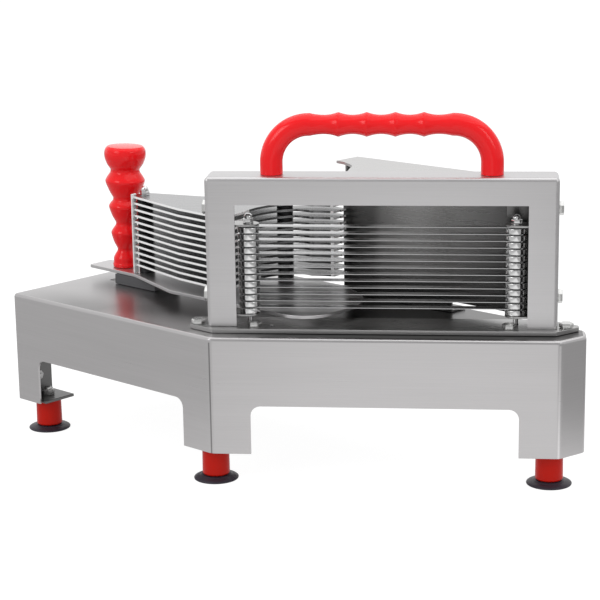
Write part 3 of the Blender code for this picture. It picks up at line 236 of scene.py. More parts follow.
# %% Floor and world
FLOOR_SIZE = 12.0
FLOOR_GLOW = 0.80
FLOOR_PAINT = (0.90, 0.90, 0.90, 1)
FLOOR_WHITE = 1.16
FLOOR_FILL = 0.45
DIM_LEFT = ((-0.34, 0.02), (0.47, 0.94))
DIM_RIGHT = ((0.28, 0.45), (0.94, 0.26))
WORLD_PLAIN = 0.80
WORLD_BACK = 0.26
WORLD_SIDE = 0.05
WORLD_UP = 0.22
WHITE = (1, 1, 1, 1)


def ray_kinds(network):
    """Tell whether the camera or a reflection is looking."""
    outputs = network.node("ShaderNodeLightPath").socket.node.outputs
    return [Channel(network, outputs[key]) for key in ("Is Camera Ray", "Is Glossy Ray")]


def make_floor():
    """Lay a pale floor that glows white and keeps the shadow."""
    mesh = bpy.data.meshes.new("studio_floor")
    half = FLOOR_SIZE / 2
    corners = [(-half, -half, 0), (half, -half, 0), (half, half, 0), (-half, half, 0)]
    mesh.from_pydata(corners, [], [(0, 1, 2, 3)])
    floor = bpy.data.objects.new("studio_floor", mesh)
    scene.collection.objects.link(floor)
    finish = bpy.data.materials.new("studio_floor")
    finish.use_nodes = True
    network = Network(finish.node_tree)
    network.tree.nodes.clear()
    to_camera, glossy = ray_kinds(network)
    x = network.position()[0]
    left = network.mapped(x, *DIM_LEFT)
    right = network.mapped(x, *DIM_RIGHT)
    seen_in_steel = left.math("MINIMUM", left, right)
    glow = FLOOR_FILL + to_camera * (FLOOR_WHITE - FLOOR_FILL)
    glow = glow + glossy * (seen_in_steel - FLOOR_FILL)
    white = network.node("ShaderNodeEmission", sockets={"Color": WHITE, "Strength": glow})
    pale = network.node("ShaderNodeBsdfDiffuse", sockets={"Color": FLOOR_PAINT})
    mixed = network.node("ShaderNodeMixShader", sockets={0: FLOOR_GLOW, 1: pale, 2: white})
    network.node("ShaderNodeOutputMaterial", sockets={"Surface": mixed})
    mesh.materials.append(finish)
    floor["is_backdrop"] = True


def make_world():
    """Make a world that is white to the camera and softer in reflections."""
    world = bpy.data.worlds.new("studio_world")
    world.use_nodes = True
    network = Network(world.node_tree)
    network.tree.nodes.clear()
    to_camera, glossy = ray_kinds(network)
    side, back, up = network.position("Generated")
    seen_in_steel = WORLD_PLAIN + WORLD_BACK * back - WORLD_SIDE * side - WORLD_UP * up
    strength = WORLD_PLAIN + to_camera * (1 - WORLD_PLAIN) + glossy * (seen_in_steel - WORLD_PLAIN)
    sky = network.node("ShaderNodeBackground", sockets={"Color": WHITE, "Strength": strength})
    network.node("ShaderNodeOutputWorld", sockets={"Surface": sky})
    scene.world = world


make_floor()
make_world()
print("floor", FLOOR_SIZE, "m across")

# %% [markdown]
# ## The lamps
#
# Three large soft boxes stand well away from the slicer. The widest hangs
# overhead and draws the bright lines along the folds, one fills the front from
# the left and a narrow one from the right gives the red grips their gleam.

# %% Soft boxes
LAMPS = (
    ("overhead_box", (0.10, 0.15, 1.70), (2.60, 2.20), 14.0),
    ("left_box", (-1.30, -1.30, 1.15), (0.90, 0.90), 7.0),
    ("right_box", (1.25, -1.10, 0.95), (0.45, 0.90), 2.6),
)
LIT_POINT = Vector((0.02, -0.04, 0.13))


def add_lamp(name, place, size, watts):
    """Hang one soft box and turn it to the slicer."""
    light = bpy.data.lights.new(name, "AREA")
    light.shape = "RECTANGLE"
    light.size, light.size_y = size
    light.energy = watts
    lamp = bpy.data.objects.new(name, light)
    lamp.location = place
    aim = LIT_POINT - Vector(place)
    lamp.rotation_euler = aim.to_track_quat("-Z", "Y").to_euler()
    scene.collection.objects.link(lamp)


for name, place, size, watts in LAMPS:
    add_lamp(name, place, size, watts)
print(len(LAMPS), "soft boxes")

# %% [markdown]
# ## Steel finishes
#
# Nearly everything here is bare metal, and bare metal is mostly its surface
# scratches. The folded sheet was brushed along its length, so its streaks run
# along each panel. They are drawn as noise that is stretched in one direction
# of the piece's own UV map, which is measured in metres and turned panel by
# panel. The streaks change the roughness, the colour and the bump together.

# %% A maker of finishes


class Finish(Network):
    """A material with a Principled shader, whose fixed values go on sockets."""

    def __init__(self, name, colour, roughness, metallic, fixed=None):
        self.material = bpy.data.materials.new(name)
        self.material.use_nodes = True
        super().__init__(self.material.node_tree)
        self.shader = self.tree.nodes["Principled BSDF"]
        self.shader.inputs["Base Color"].default_value = (*colour, 1)
        self.shader.inputs["Roughness"].default_value = roughness
        self.shader.inputs["Metallic"].default_value = metallic
        for key, value in (fixed or {}).items():
            self.shader.inputs[key].default_value = value

    def set(self, key, value):
        self.feed(self.shader.inputs[key], value)

    def noise(self, vector, scale, detail=2.0, roughness=0.5):
        sockets = {"Vector": vector, "Scale": scale, "Detail": detail, "Roughness": roughness}
        return self.node("ShaderNodeTexNoise", {"noise_dimensions": "3D"}, sockets)

    def stretched(self, vector, factors):
        return self.node("ShaderNodeVectorMath", {"operation": "MULTIPLY"}, {0: vector, 1: factors})

    def blend(self, factor, first, second):
        settings = {"data_type": "RGBA"}
        sockets = {0: factor, 6: first, 7: second}
        return self.node("ShaderNodeMix", settings, sockets, output=2)

    def bump(self, height, strength, distance):
        sockets = {"Strength": strength, "Distance": distance, "Height": height}
        self.set("Normal", self.node("ShaderNodeBump", sockets=sockets))


FINE_ALONG = 14.0
BROAD_STREAKS = (5.0, 60.0, 60.0)
BROAD_SHARE = 0.4
SHEET_CLOUDS = 18.0


def brushed(name, dark, light, roughness, streak=900.0, tint=None):
    """Make steel that is brushed along the first direction of its UV map."""
    finish = Finish(name, light, roughness, 1.0)
    place = finish.node("ShaderNodeUVMap", {"uv_map": "panel"})
    fine = finish.noise(finish.stretched(place, (FINE_ALONG, streak, streak)), 1.0, 3.0)
    broad = finish.noise(finish.stretched(place, BROAD_STREAKS), 1.0, 2.0)
    cloud = finish.noise(place, SHEET_CLOUDS, 3.0)
    tone = fine * (1 - BROAD_SHARE) + broad * BROAD_SHARE
    colour = finish.blend(tone, (*dark, 1), (*light, 1))
    # A tint paints light, shade and reflections into the colour.
    if tint is not None:
        colour = tint(finish, colour)
    finish.set("Base Color", colour)
    finish.set("Roughness", roughness - 0.06 + fine * 0.12 + cloud * 0.05)
    finish.bump(fine, 0.10, 0.0002)
    return finish.material


def ground(name, colour, roughness, metallic=1.0):
    """Make metal with a fine even grain, read from the object's own space."""
    finish = Finish(name, colour, roughness, metallic)
    place = finish.node("ShaderNodeTexCoord", output="Object")
    grain = finish.noise(place, 500.0, 4.0)
    cloud = finish.noise(place, 40.0, 2.0)
    darker = tuple(c * 0.86 for c in colour)
    finish.set("Base Color", finish.blend(grain * 0.5 + cloud * 0.5, (*darker, 1), (*colour, 1)))
    finish.set("Roughness", roughness - 0.04 + cloud * 0.10)
    finish.bump(grain, 0.06, 0.0001)
    return finish.material


print("two kinds of metal: brushed along a panel, and ground with an even grain")

# %% [markdown]
# ## Shades drawn into the colour
#
# Steel mirrors what stands round it, and some tones of the photograph come
# from dark things that this studio doesn't have. They are drawn as soft
# factors on the colour. The carriage slides aslant, so most of them are
# measured along its travel or across it, in metres from the front knee of the
# stand.

# %% Places along the travel
TRAVEL = Vector((0.79758, -0.60321, 0.0))
KNEE_CORNER = (-0.05157, -0.15606)


def multiplied(finish, colour, factor):
    """Scale a colour by a factor."""
    return finish.node("ShaderNodeVectorMath", {"operation": "SCALE"}, {0: colour, "Scale": factor})


def travel_channels(x, y):
    """Give the places along and across the travel as sums of x and y."""
    along = x * TRAVEL.x + y * TRAVEL.y - (KNEE_CORNER[0] * TRAVEL.x + KNEE_CORNER[1] * TRAVEL.y)
    across = y * TRAVEL.x - x * TRAVEL.y - (KNEE_CORNER[1] * TRAVEL.x - KNEE_CORNER[0] * TRAVEL.y)
    return along, across


print("the carriage travels along", tuple(round(v, 3) for v in TRAVEL))

# %% [markdown]
# ## Shades on the stand
#
# The front has a dark closed seam at the knee and a painted highlight along
# its right fold. The flat top gets a painted reflection of the pusher: painted
# shade below the carriage and a grey patch in front of it.

# %% Shades on the stand
FOLD_HEIGHT = 0.004
FOLD_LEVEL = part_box("base_shell")[1].z - FOLD_HEIGHT
FRONT_DEPTH = 0.004
SEAM_WIDTH = 0.0004
SEAM_DARK = 0.45
# Where the painted highlight along the right fold of the front runs.
RIGHT_FOLD = 0.2243
FOLD_WIDTHS = (0.0002, 0.0013)
FOLD_PAINTED_GLEAM = 0.42
TOP_SKIN = 0.0001
# Painted shade and a painted reflection of the pusher on the flat top.
SHADOW_ACROSS = (0.008, 0.046)
SHADOW_ALONG = (-0.150, -0.085)
SHADOW_DEPTH = 0.70
DIP_START = -0.240
DIP_LENGTH = 0.200
DIP_STOPS = ((0.0, 0.18), (0.35, 0.56), (0.50, 0.60), (0.72, 0.16), (1.0, 0.0))
DIP_FADE = 0.45


def top_shade(finish, x, y, z):
    """Give the painted shade for the flat top, a painted reflection of the pusher."""
    along, across = travel_channels(x, y)
    behind = finish.mapped(across, SHADOW_ACROSS, (0.0, 1.0), smooth=True)
    forward = finish.mapped(along, SHADOW_ALONG, (0.0, 1.0), smooth=True)
    painted_dip = finish.greys((along - DIP_START) / DIP_LENGTH, DIP_STOPS)
    shade = (1 - painted_dip * (1 - behind * DIP_FADE)) * (1 - forward * behind * SHADOW_DEPTH)
    return 1 - z.above(FOLD_LEVEL + FOLD_HEIGHT - TOP_SKIN) * (1 - shade)


def stand_seam_and_painted_light(finish, colour):
    """Draw the seam at the knee, a painted highlight on the right fold and painted shade on the
    top.
    """
    x, y, z = finish.position()
    on_front = z.below(FOLD_LEVEL) * y.below(KNEE_CORNER[1] + FRONT_DEPTH)
    seam = finish.mapped(abs(x - KNEE_CORNER[0]), (SEAM_WIDTH, SEAM_WIDTH * 2), (SEAM_DARK, 1.0))
    seamed = multiplied(finish, colour, 1 - on_front * (1 - seam))
    # A painted highlight along the right fold.
    fold = finish.mapped(abs(x - RIGHT_FOLD), FOLD_WIDTHS, (FOLD_PAINTED_GLEAM, 0.0), smooth=True)
    return multiplied(finish, seamed, (1 + fold * on_front) * top_shade(finish, x, y, z))


print("the fold of the stand begins at", round(FOLD_LEVEL * 1000, 1), "mm")

# %% [markdown]
# ## Shades on the fence and the slats
#
# The fence has painted light in its middle and painted shade towards the frame
# and the foot, for what it mirrors. The slats get painted highlights on their
# rims, and where a slat is covered by the one above it, its face gets painted
# shade, most of all beside the hollow for the fruit.

# %% Shades on the fence and the slats
# Painted light and shade along the fence, and painted shade towards its foot.
FENCE_START = -0.020
FENCE_LENGTH = 0.225
FENCE_SHADE_STOPS = ((0.0, 0.52), (0.15, 0.52), (0.19, 0.80), (0.55, 0.86), (0.80, 0.26), (1.0, 0.18))
FENCE_SHADE_HEIGHTS = (0.135, 0.214)
FENCE_FOOT_SHADE = 0.28
FENCE_FLAT = 0.2405


def fence_painted_shade(finish, colour):
    """Paint light and shade into the fence, for what it mirrors: the pusher and the inside of the
    frame.
    """
    x, y, z = finish.position()
    along = travel_channels(x, y)[0]
    shade = finish.greys((along - FENCE_START) / FENCE_LENGTH, FENCE_SHADE_STOPS)
    factor = shade * finish.mapped(z, FENCE_SHADE_HEIGHTS, (FENCE_FOOT_SHADE, 1.0))
    return multiplied(finish, colour, factor + z.above(FENCE_FLAT) * (1 - factor))


# Painted shade on the slat faces, most of all where they are covered, and a painted highlight on
# the rims.
SLAT_START = -0.160
SLAT_LENGTH = 0.160
SLAT_SHADE_STOPS = ((0.0, 0.85), (0.35, 0.75), (0.39, 0.20), (0.62, 0.16), (0.72, 1.0), (1.0, 1.0))
CUP_ACROSS = (0.095, 0.105)
CUP_HEIGHTS = (0.140, 0.206)
CUP_SHADES = (0.16, 0.58)
SLAT_SHADE_DIM = 0.72
SLAT_OPEN = 0.80
RIM_HIGHLIGHT_COLOUR = (0.97, 0.97, 0.97, 1)
RIM_METALLIC = 0.05


def slat_painted_light(finish, colour):
    """Paint highlights on the sheared rims and painted shade on the faces that others cover."""
    rim = finish.node("ShaderNodeAttribute", {"attribute_name": "rim"}, output="Fac")
    finish.set("Metallic", 1 - (1 - RIM_METALLIC) * rim)
    x, y, z = finish.position()
    along, across = travel_channels(x, y)
    shade = finish.greys((along - SLAT_START) / SLAT_LENGTH, SLAT_SHADE_STOPS)
    cupped = finish.mapped(across, CUP_ACROSS, (0.0, 1.0))
    height = finish.mapped(z, CUP_HEIGHTS, CUP_SHADES)
    covered = z.below(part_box("pusher_slat_01")[0].z)
    shaded = shade + cupped * (height - shade)
    factor = SLAT_SHADE_DIM * (SLAT_OPEN + covered * (shaded - SLAT_OPEN))
    return finish.blend(rim, multiplied(finish, colour, factor), RIM_HIGHLIGHT_COLOUR)


# %% [markdown]
# ## The metals
#
# Each finish has a darker and a lighter tone for its streaks, then its
# roughness. The two brackets stand in the shade of the stand, so that shade is
# painted into their dark colour. The comb's edge catches the light, so a
# painted highlight is made of it: its metal is as pale and even as paint.

# %% Metal finishes
SHEET = brushed("brushed_sheet", (0.56, 0.55, 0.555), (0.68, 0.67, 0.675), 0.32)
# The stand, the fence and the slats carry painted shade, highlights and reflections.
STAND = brushed("stand_sheet", (0.52, 0.51, 0.512), (0.63, 0.615, 0.62), 0.28, tint=stand_seam_and_painted_light)
FENCE = brushed("fence_sheet", (0.52, 0.515, 0.51), (0.62, 0.61, 0.605), 0.26, tint=fence_painted_shade)
PLATE = brushed("ground_plate", (0.38, 0.38, 0.38), (0.50, 0.495, 0.49), 0.26)
# Painted shade: the brackets' colour is darkened for the shade of the stand.
SHADED_BRACKET = brushed("shaded_bracket", (0.13, 0.13, 0.13), (0.20, 0.197, 0.195), 0.32)
SLAT = brushed("slat_aluminium", (0.62, 0.62, 0.63), (0.76, 0.76, 0.77), 0.24, 1400.0, slat_painted_light)
BLADE = brushed("blade_steel", (0.46, 0.46, 0.47), (0.58, 0.58, 0.58), 0.18, 1600.0)
CHROME = ground("chromed_steel", (0.82, 0.82, 0.82), 0.13)
FIXING = ground("zinc_fixing", (0.74, 0.74, 0.73), 0.24)
# Painted highlight: the comb's edge is pale and hardly metallic, so it stays bright from every
# side.
HIGHLIGHT_EDGE = ground("bright_edge", (0.95, 0.95, 0.95), 0.34, 0.15)
METALS = (SHEET, STAND, FENCE, PLATE, SHADED_BRACKET, SLAT, BLADE, CHROME, FIXING, HIGHLIGHT_EDGE)
print("metal finishes:", [metal.name for metal in METALS])

# %% [markdown]
# ## Plastics and rubber
#
# The grips are a glossy red moulding: a strong even colour with a clear gleam
# and an almost invisible orange-peel waviness. The sleeves of the feet are the
# same plastic but satin and a little deeper. The cups are black rubber with a
# violet tinge, and the spacers between the slats are plain dark plastic. The
# slider's nylon lies in the shade of the carriage, and that shade is painted
# into its dark colour.

# %% Moulded finishes


def moulded(name, colour, roughness, ripple, coat=0.0, fixed=None):
    """Make moulded plastic with a slight waviness and uneven gloss."""
    settings = {"Coat Weight": coat, "Coat Roughness": 0.08, "Specular IOR Level": 0.32}
    settings.update(fixed or {})
    finish = Finish(name, colour, roughness, 0.0, settings)
    place = finish.node("ShaderNodeTexCoord", output="Object")
    wave = finish.noise(place, 160.0, 2.0)
    cloud = finish.noise(place, 30.0, 3.0)
    deeper = tuple(c * 0.90 for c in colour)
    finish.set("Base Color", finish.blend(cloud, (*deeper, 1), (*colour, 1)))
    finish.set("Roughness", roughness - 0.03 + cloud * 0.08)
    finish.bump(wave, ripple, 0.0003)
    return finish.material


RED = moulded("red_grip", (0.95, 0.008, 0.012), 0.17, 0.10, 0.25, {"Specular IOR Level": 0.22})
SLEEVE = moulded("red_sleeve", (0.60, 0.010, 0.003), 0.30, 0.14, 0.0, {"Specular IOR Level": 0.18})
RUBBER = moulded("black_rubber", (0.034, 0.028, 0.040), 0.38, 0.25)
DARK = moulded("dark_spacer", (0.020, 0.020, 0.022), 0.38, 0.15)
# Painted shade: white nylon, darkened in colour for the shade of the carriage.
SHADED_NYLON = moulded("white_nylon", (0.10, 0.10, 0.105), 0.40, 0.10)
print("moulded finishes:", [m.name for m in (RED, SLEEVE, RUBBER, DARK, SHADED_NYLON)])

# %% [markdown]
# ## Turning a mesh into a piece
#
# Every piece ends in the same way: its mesh becomes an object at the origin,
# which rides on a body, names its finish and stands for the solids that it
# replaces. Panels also get their UV map here. Each face is measured along its
# own level direction, so that brushing follows every fold.

# %% Helpers for pieces
SMOOTH_ANGLE = math.radians(38.0)
FLAT_ENOUGH = 0.8


def lay_panel_uv(mesh):
    """Measure each face in metres along its own level direction."""
    layer = mesh.uv_layers.get("panel") or mesh.uv_layers.new(name="panel")
    for face in mesh.polygons:
        normal = face.normal
        along = Vector((1, 0, 0))
        if abs(normal.z) <= FLAT_ENOUGH:
            along = Vector((-normal.y, normal.x, 0)).normalized()
        other = normal.cross(along)
        for loop in face.loop_indices:
            point = mesh.vertices[mesh.loops[loop].vertex_index].co
            layer.data[loop].uv = (point.dot(along), point.dot(other))


def make_piece(name, mesh, body, nodes, finish=None):
    """Put a finished mesh into the scene as a piece of one body."""
    if finish is not None:
        mesh.materials.clear()
        mesh.materials.append(finish)
    piece = bpy.data.objects.new(name, mesh)
    scene.collection.objects.link(piece)
    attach(piece, body)
    if nodes:
        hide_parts(*nodes)
    print(f"{name}: {len(mesh.polygons)} faces, on {body}")
    return piece


def mesh_from(shape, name):
    """Turn a working shape into a smooth mesh with sharp corners kept."""
    mesh = bpy.data.meshes.new(name)
    shape.to_mesh(mesh)
    shape.free()
    mesh.shade_smooth()
    mesh.set_sharp_from_angle(angle=SMOOTH_ANGLE)
    return mesh


def merged(meshes, name):
    """Put several meshes into one, keeping their sharp edges."""
    shape = bmesh.new()
    for mesh in meshes:
        shape.from_mesh(mesh)
    mesh = bpy.data.meshes.new(name)
    shape.to_mesh(mesh)
    shape.free()
    return mesh


# %% [markdown]
# ## Softening the cut edges
#
# A sheared edge is never perfectly sharp: a hair of roundness catches the
# light, and without it steel looks like paper. The solids are already right in
# shape, so each is copied, its loose triangles are merged back into flat faces,
# and a Bevel modifier rounds what is sharper than a fold. A Weighted Normal
# modifier then keeps the wide faces looking flat.

# %% Softened copies
MERGE_DISTANCE = 0.00001
FLAT_ANGLE = math.radians(0.6)
EDGE_ANGLE = math.radians(40.0)


def softened(nodes, name, edge, segments=2):
    """Copy CAD solids, make their faces whole and round their edges."""
    shape = bmesh.new()
    for node in nodes:
        shape.from_mesh(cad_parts[node].data)
    bmesh.ops.remove_doubles(shape, verts=shape.verts, dist=MERGE_DISTANCE)
    bmesh.ops.dissolve_limit(
        shape, angle_limit=FLAT_ANGLE, use_dissolve_boundaries=False,
        verts=shape.verts, edges=shape.edges,
    )
    mesh = mesh_from(shape, name)
    worker = bpy.data.objects.new(name + "_worker", mesh)
    scene.collection.objects.link(worker)
    bevel = worker.modifiers.new("edge", "BEVEL")
    bevel.width = edge
    bevel.segments = segments
    bevel.limit_method = "ANGLE"
    bevel.angle_limit = EDGE_ANGLE
    bevel.harden_normals = False
    even = worker.modifiers.new("even", "WEIGHTED_NORMAL")
    even.keep_sharp = True
    result = evaluated_mesh(worker, name)
    bpy.data.objects.remove(worker)
    lay_panel_uv(result)
    return result


def evaluated_mesh(worker, name):
    """Give the plain mesh that an object's modifiers make."""
    bpy.context.view_layer.update()
    graph = bpy.context.evaluated_depsgraph_get()
    result = bpy.data.meshes.new_from_object(worker.evaluated_get(graph))
    result.name = name
    return result


# %% [markdown]
# ## The folded parts
#
# The stand, the blade frame, the fence and the carriage plate are sheet or
# plate, cut and folded. Their solids hold the real outline, so only the edges
# and the finish are left to do.

# %% Folded parts
CUT_EDGE = 0.00035
FOLDED = (
    ("stand", "base_shell", "stand", "brushed_sheet", STAND),
    ("portal", "blade_frame", "stand", "brushed_sheet", SHEET),
    ("sliding_plate", "carriage_plate", "carriage", "brushed_sheet", SHEET),
    ("portal_plate", "frame_plate", "stand", "ground_plate", PLATE),
    ("left_bracket", "foot_bracket_left", "stand", "ground_plate", SHADED_BRACKET),
    ("rear_bracket", "foot_bracket_rear", "stand", "ground_plate", SHADED_BRACKET),
    ("left_holder", "rod_holder_left", "stand", "ground_plate", PLATE),
    ("right_holder", "rod_holder_right", "stand", "ground_plate", PLATE),
    ("tail_comb", "slat_comb", "carriage", "ground_plate", HIGHLIGHT_EDGE),
    ("keeper", "slider_keeper", "carriage", "ground_plate", PLATE),
    ("slider", "slider_block", "carriage", "white_nylon", SHADED_NYLON),
)
for name, node, body, slot, finish in FOLDED:
    make_piece(name, softened([node], name, CUT_EDGE), body, [node], finish)

# %% [markdown]
# ## The fence and its wide top
#
# Behind the blades stands the fence that guides the fruit. In the photograph
# its top is a wide sheet that reaches forwards to the frame and ends on the
# left in a pointed corner, so a flat outline is drawn for it and given the
# thickness of the sheet. It joins the softened copy of the fence's solid.

# %% Fence
COVER_STOCK = 0.0022
COVER_TOP = 0.2441
FENCE_OUTER = 0.1870
COVER_GAP = 0.0008
COVER_INSET = 0.0015
COVER_NOSE = 0.0030
COVER_CURVE = (
    (-0.0050, 0.1600), (0.0040, 0.1585), (0.0150, 0.1535), (0.0235, 0.1475), (0.0280, 0.1400),
)


def travel_place(s, n):
    """Give the world place of a point along and across the travel."""
    x = KNEE_CORNER[0] + s * TRAVEL.x - n * TRAVEL.y
    y = KNEE_CORNER[1] + s * TRAVEL.y + n * TRAVEL.x
    return x, y


def flat_plate(outline, bottom, top, name):
    """Give a flat outline its thickness."""
    shape = bmesh.new()
    lower = [shape.verts.new((x, y, bottom)) for x, y in outline]
    upper = [shape.verts.new((x, y, top)) for x, y in outline]
    shape.faces.new(upper)
    shape.faces.new(lower[::-1])
    for i in range(len(outline)):
        j = (i + 1) % len(outline)
        shape.faces.new((lower[i], lower[j], upper[j], upper[i]))
    bmesh.ops.recalc_face_normals(shape, faces=shape.faces)
    return mesh_from(shape, name)


def cover_outline():
    """Draw the wide top from the fence's back to the frame."""
    frame_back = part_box("blade_frame")[1].y + COVER_GAP
    curve = [travel_place(s, n) for s, n in COVER_CURVE]
    fence_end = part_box("fence")[1].x - COVER_INSET
    start = travel_place(COVER_CURVE[0][0], FENCE_OUTER)
    run = (start[1] - frame_back) / -TRAVEL.y
    corner = (min(start[0] + run * TRAVEL.x, fence_end), frame_back)
    return [start] + curve + [(curve[-1][0] - COVER_NOSE, frame_back), corner]


cover = flat_plate(cover_outline(), COVER_TOP - COVER_STOCK, COVER_TOP, "cover")
fence = merged([softened(["fence"], "fence_form", CUT_EDGE), cover], "fruit_fence")
lay_panel_uv(fence)
make_piece("fruit_fence", fence, "stand", ["fence"], FENCE)

# %% [markdown]
# ## Geometry Nodes for what repeats
#
# The blades, the slats and the spacers are stacks: one form, copied at an even
# pitch. A Geometry Nodes tree makes the stack from the topmost form, with its
# count and pitch as named inputs. A second tree sets a form on marked points,
# each turned to its own direction, which is what bolts and nuts need.

# %% Trees that repeat


def new_tree(name, inputs):
    """Make an empty geometry tree with named inputs."""
    tree = bpy.data.node_groups.new(name, "GeometryNodeTree")
    face = tree.interface
    face.new_socket("Geometry", in_out="INPUT", socket_type="NodeSocketGeometry")
    for label, kind in inputs:
        face.new_socket(label, in_out="INPUT", socket_type="NodeSocket" + kind)
    face.new_socket("Geometry", in_out="OUTPUT", socket_type="NodeSocketGeometry")
    network = Network(tree)
    entry = tree.nodes.new("NodeGroupInput")
    given = {socket.name: Channel(network, socket) for socket in entry.outputs if socket.name}
    return network, given


def close_tree(network, result, finish):
    """End a tree in real geometry with one finish."""
    real = network.node("GeometryNodeRealizeInstances", sockets={0: result})
    dressed = network.node("GeometryNodeSetMaterial", sockets={0: real, 2: finish})
    network.node("NodeGroupOutput", sockets={0: dressed})


def stack_tree():
    """Copy a form downwards at an even pitch."""
    inputs = (("Count", "Int"), ("Pitch", "Float"), ("Finish", "Material"))
    network, given = new_tree("even_stack", inputs)
    drop = network.node("ShaderNodeCombineXYZ", sockets={2: 0 - given["Pitch"]})
    line = network.node("GeometryNodeMeshLine", sockets={"Count": given["Count"], "Offset": drop})
    copies = network.node(
        "GeometryNodeInstanceOnPoints", sockets={"Points": line, "Instance": given["Geometry"]}
    )
    close_tree(network, copies, given["Finish"])
    return network.tree


def set_on_points_tree():
    """Set a form on marked points, its z along each point's own direction."""
    inputs = (("Form", "Object"), ("Finish", "Material"))
    network, given = new_tree("set_on_points", inputs)
    aim = network.node(
        "GeometryNodeInputNamedAttribute", {"data_type": "FLOAT_VECTOR"}, {"Name": "aim"}
    )
    turn = network.node("FunctionNodeAlignRotationToVector", {"axis": "Z"}, {"Vector": aim})
    form = network.node("GeometryNodeObjectInfo", sockets={"Object": given["Form"]}, output=4)
    copies = network.node(
        "GeometryNodeInstanceOnPoints",
        sockets={"Points": given["Geometry"], "Instance": form, "Rotation": turn},
    )
    close_tree(network, copies, given["Finish"])
    return network.tree


def run_tree(tree, mesh, name, values):
    """Run a tree on a mesh and give the plain mesh that it makes."""
    worker = bpy.data.objects.new(name + "_worker", mesh)
    scene.collection.objects.link(worker)
    modifier = worker.modifiers.new("tree", "NODES")
    modifier.node_group = tree
    for item in tree.interface.items_tree:
        if item.in_out == "INPUT" and item.name in values:
            modifier[item.identifier] = values[item.name]
    result = evaluated_mesh(worker, name)
    bpy.data.objects.remove(worker)
    return result


STACK = stack_tree()
ON_POINTS = set_on_points_tree()
print("trees:", STACK.name, ON_POINTS.name)

# %% [markdown]
# ## Blades
#
# Thirteen thin blades lie level, 5.5 mm apart. The topmost is softened from its
# solid, with a far finer edge than the sheets have, and the stack tree makes
# the rest.

# %% Blade stack
BLADE_EDGE = 0.00006
BLADES = [f"blade_{i + 1:02d}" for i in range(13)]
top_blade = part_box(BLADES[0])[1].z
blade_pitch = (top_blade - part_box(BLADES[-1])[1].z) / (len(BLADES) - 1)
blade = softened([BLADES[0]], "blade_form", BLADE_EDGE, 1)
values = {"Count": len(BLADES), "Pitch": blade_pitch, "Finish": BLADE}
blades = run_tree(STACK, blade, "blade_stack", values)
make_piece("blade_stack", blades, "stand", BLADES)
print("blade pitch", round(blade_pitch * 1000, 2), "mm")

# %% [markdown]
# ## Slats
#
# The pusher is twelve flat slats that pass between the blades. Behind the
# hollow for the fruit each has a broad far band, which is drawn from two arcs
# and joins the softened copy of the solid. The cut edges are the brightest
# lines in view, so they are marked for a painted highlight in the shader. The
# inner wall of the band lies in the shade of the hollow and stays unmarked.

# %% Slat stack
SLATS = [f"pusher_slat_{i + 1:02d}" for i in range(12)]
SLAT_STOCK = 0.0020
SLAT_EDGE = 0.0003
CUP_CENTRE = (0.0010, 0.1180)
BAND_OUTER = 0.0720
BAND_INNER = 0.0600
BAND_DEEP = 0.0480
BAND_LIMIT = 0.1813
BAND_END = -0.0136
BAND_SINK = 0.00006
BAND_TURN = math.radians(160.0)
BAND_MOUTH = math.radians(106.5)
BAND_STEPS = 16
BAND_EASE = 9
WALL_START = 0.1000
WALL_END = -0.0160
UPRIGHT = 0.75
top_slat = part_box(SLATS[0])[1].z


def band_outline():
    """Draw the broad far band of a slat, behind the hollow for the fruit."""
    def on_arc(reach, angle):
        return CUP_CENTRE[0] + reach * math.cos(angle), CUP_CENTRE[1] + reach * math.sin(angle)

    points = [(BAND_END, BAND_LIMIT)]
    first = math.pi - math.asin((BAND_LIMIT - CUP_CENTRE[1]) / BAND_OUTER)
    for i in range(BAND_STEPS + 1):
        points.append(on_arc(BAND_OUTER, first + (BAND_TURN - first) * i / BAND_STEPS))
    for i in range(BAND_STEPS + 1):
        reach = BAND_INNER + (BAND_DEEP - BAND_INNER) * min(1, i / BAND_EASE) ** 2
        points.append(on_arc(reach, BAND_TURN + (BAND_MOUTH - BAND_TURN) * i / BAND_STEPS))
    return [travel_place(s, n) for s, n in points]


def mark_highlight_rims(mesh):
    """Mark the upright faces of a slat for the painted highlight, apart from the inner wall of its
    band.
    """
    layer = mesh.attributes.get("rim") or mesh.attributes.new("rim", "FLOAT", "FACE")
    for face in mesh.polygons:
        offset = face.center - Vector((*KNEE_CORNER, 0))
        across = offset.dot(Vector((-TRAVEL.y, TRAVEL.x, 0)))
        outside = across < WALL_START or offset.dot(TRAVEL) > WALL_END
        upright = abs(face.normal.z) < UPRIGHT
        layer.data[face.index].value = 1.0 if outside and upright else 0.0


band = flat_plate(band_outline(), top_slat - SLAT_STOCK + BAND_SINK, top_slat - BAND_SINK, "band")
slat = merged([softened([SLATS[0]], "slat_plate", SLAT_EDGE), band], "slat_form")
lay_panel_uv(slat)
mark_highlight_rims(slat)
values = {"Count": len(SLATS), "Pitch": blade_pitch, "Finish": SLAT}
slats = run_tree(STACK, slat, "slat_stack", values)
make_piece("slat_stack", slats, "carriage", SLATS)

# %% [markdown]
# ## Turned parts
#
# Spacers, nuts, the knob, the sleeves and the cups are all made on a lathe or
# in a round mould. Each is a profile of radius and height, turned about an
# upright axis. The profile's corners are given once, and a helper rounds
# those that the real part rounds.

# %% Turning a profile
ON_AXIS = 1e-7
NO_CORNER = 1e-6


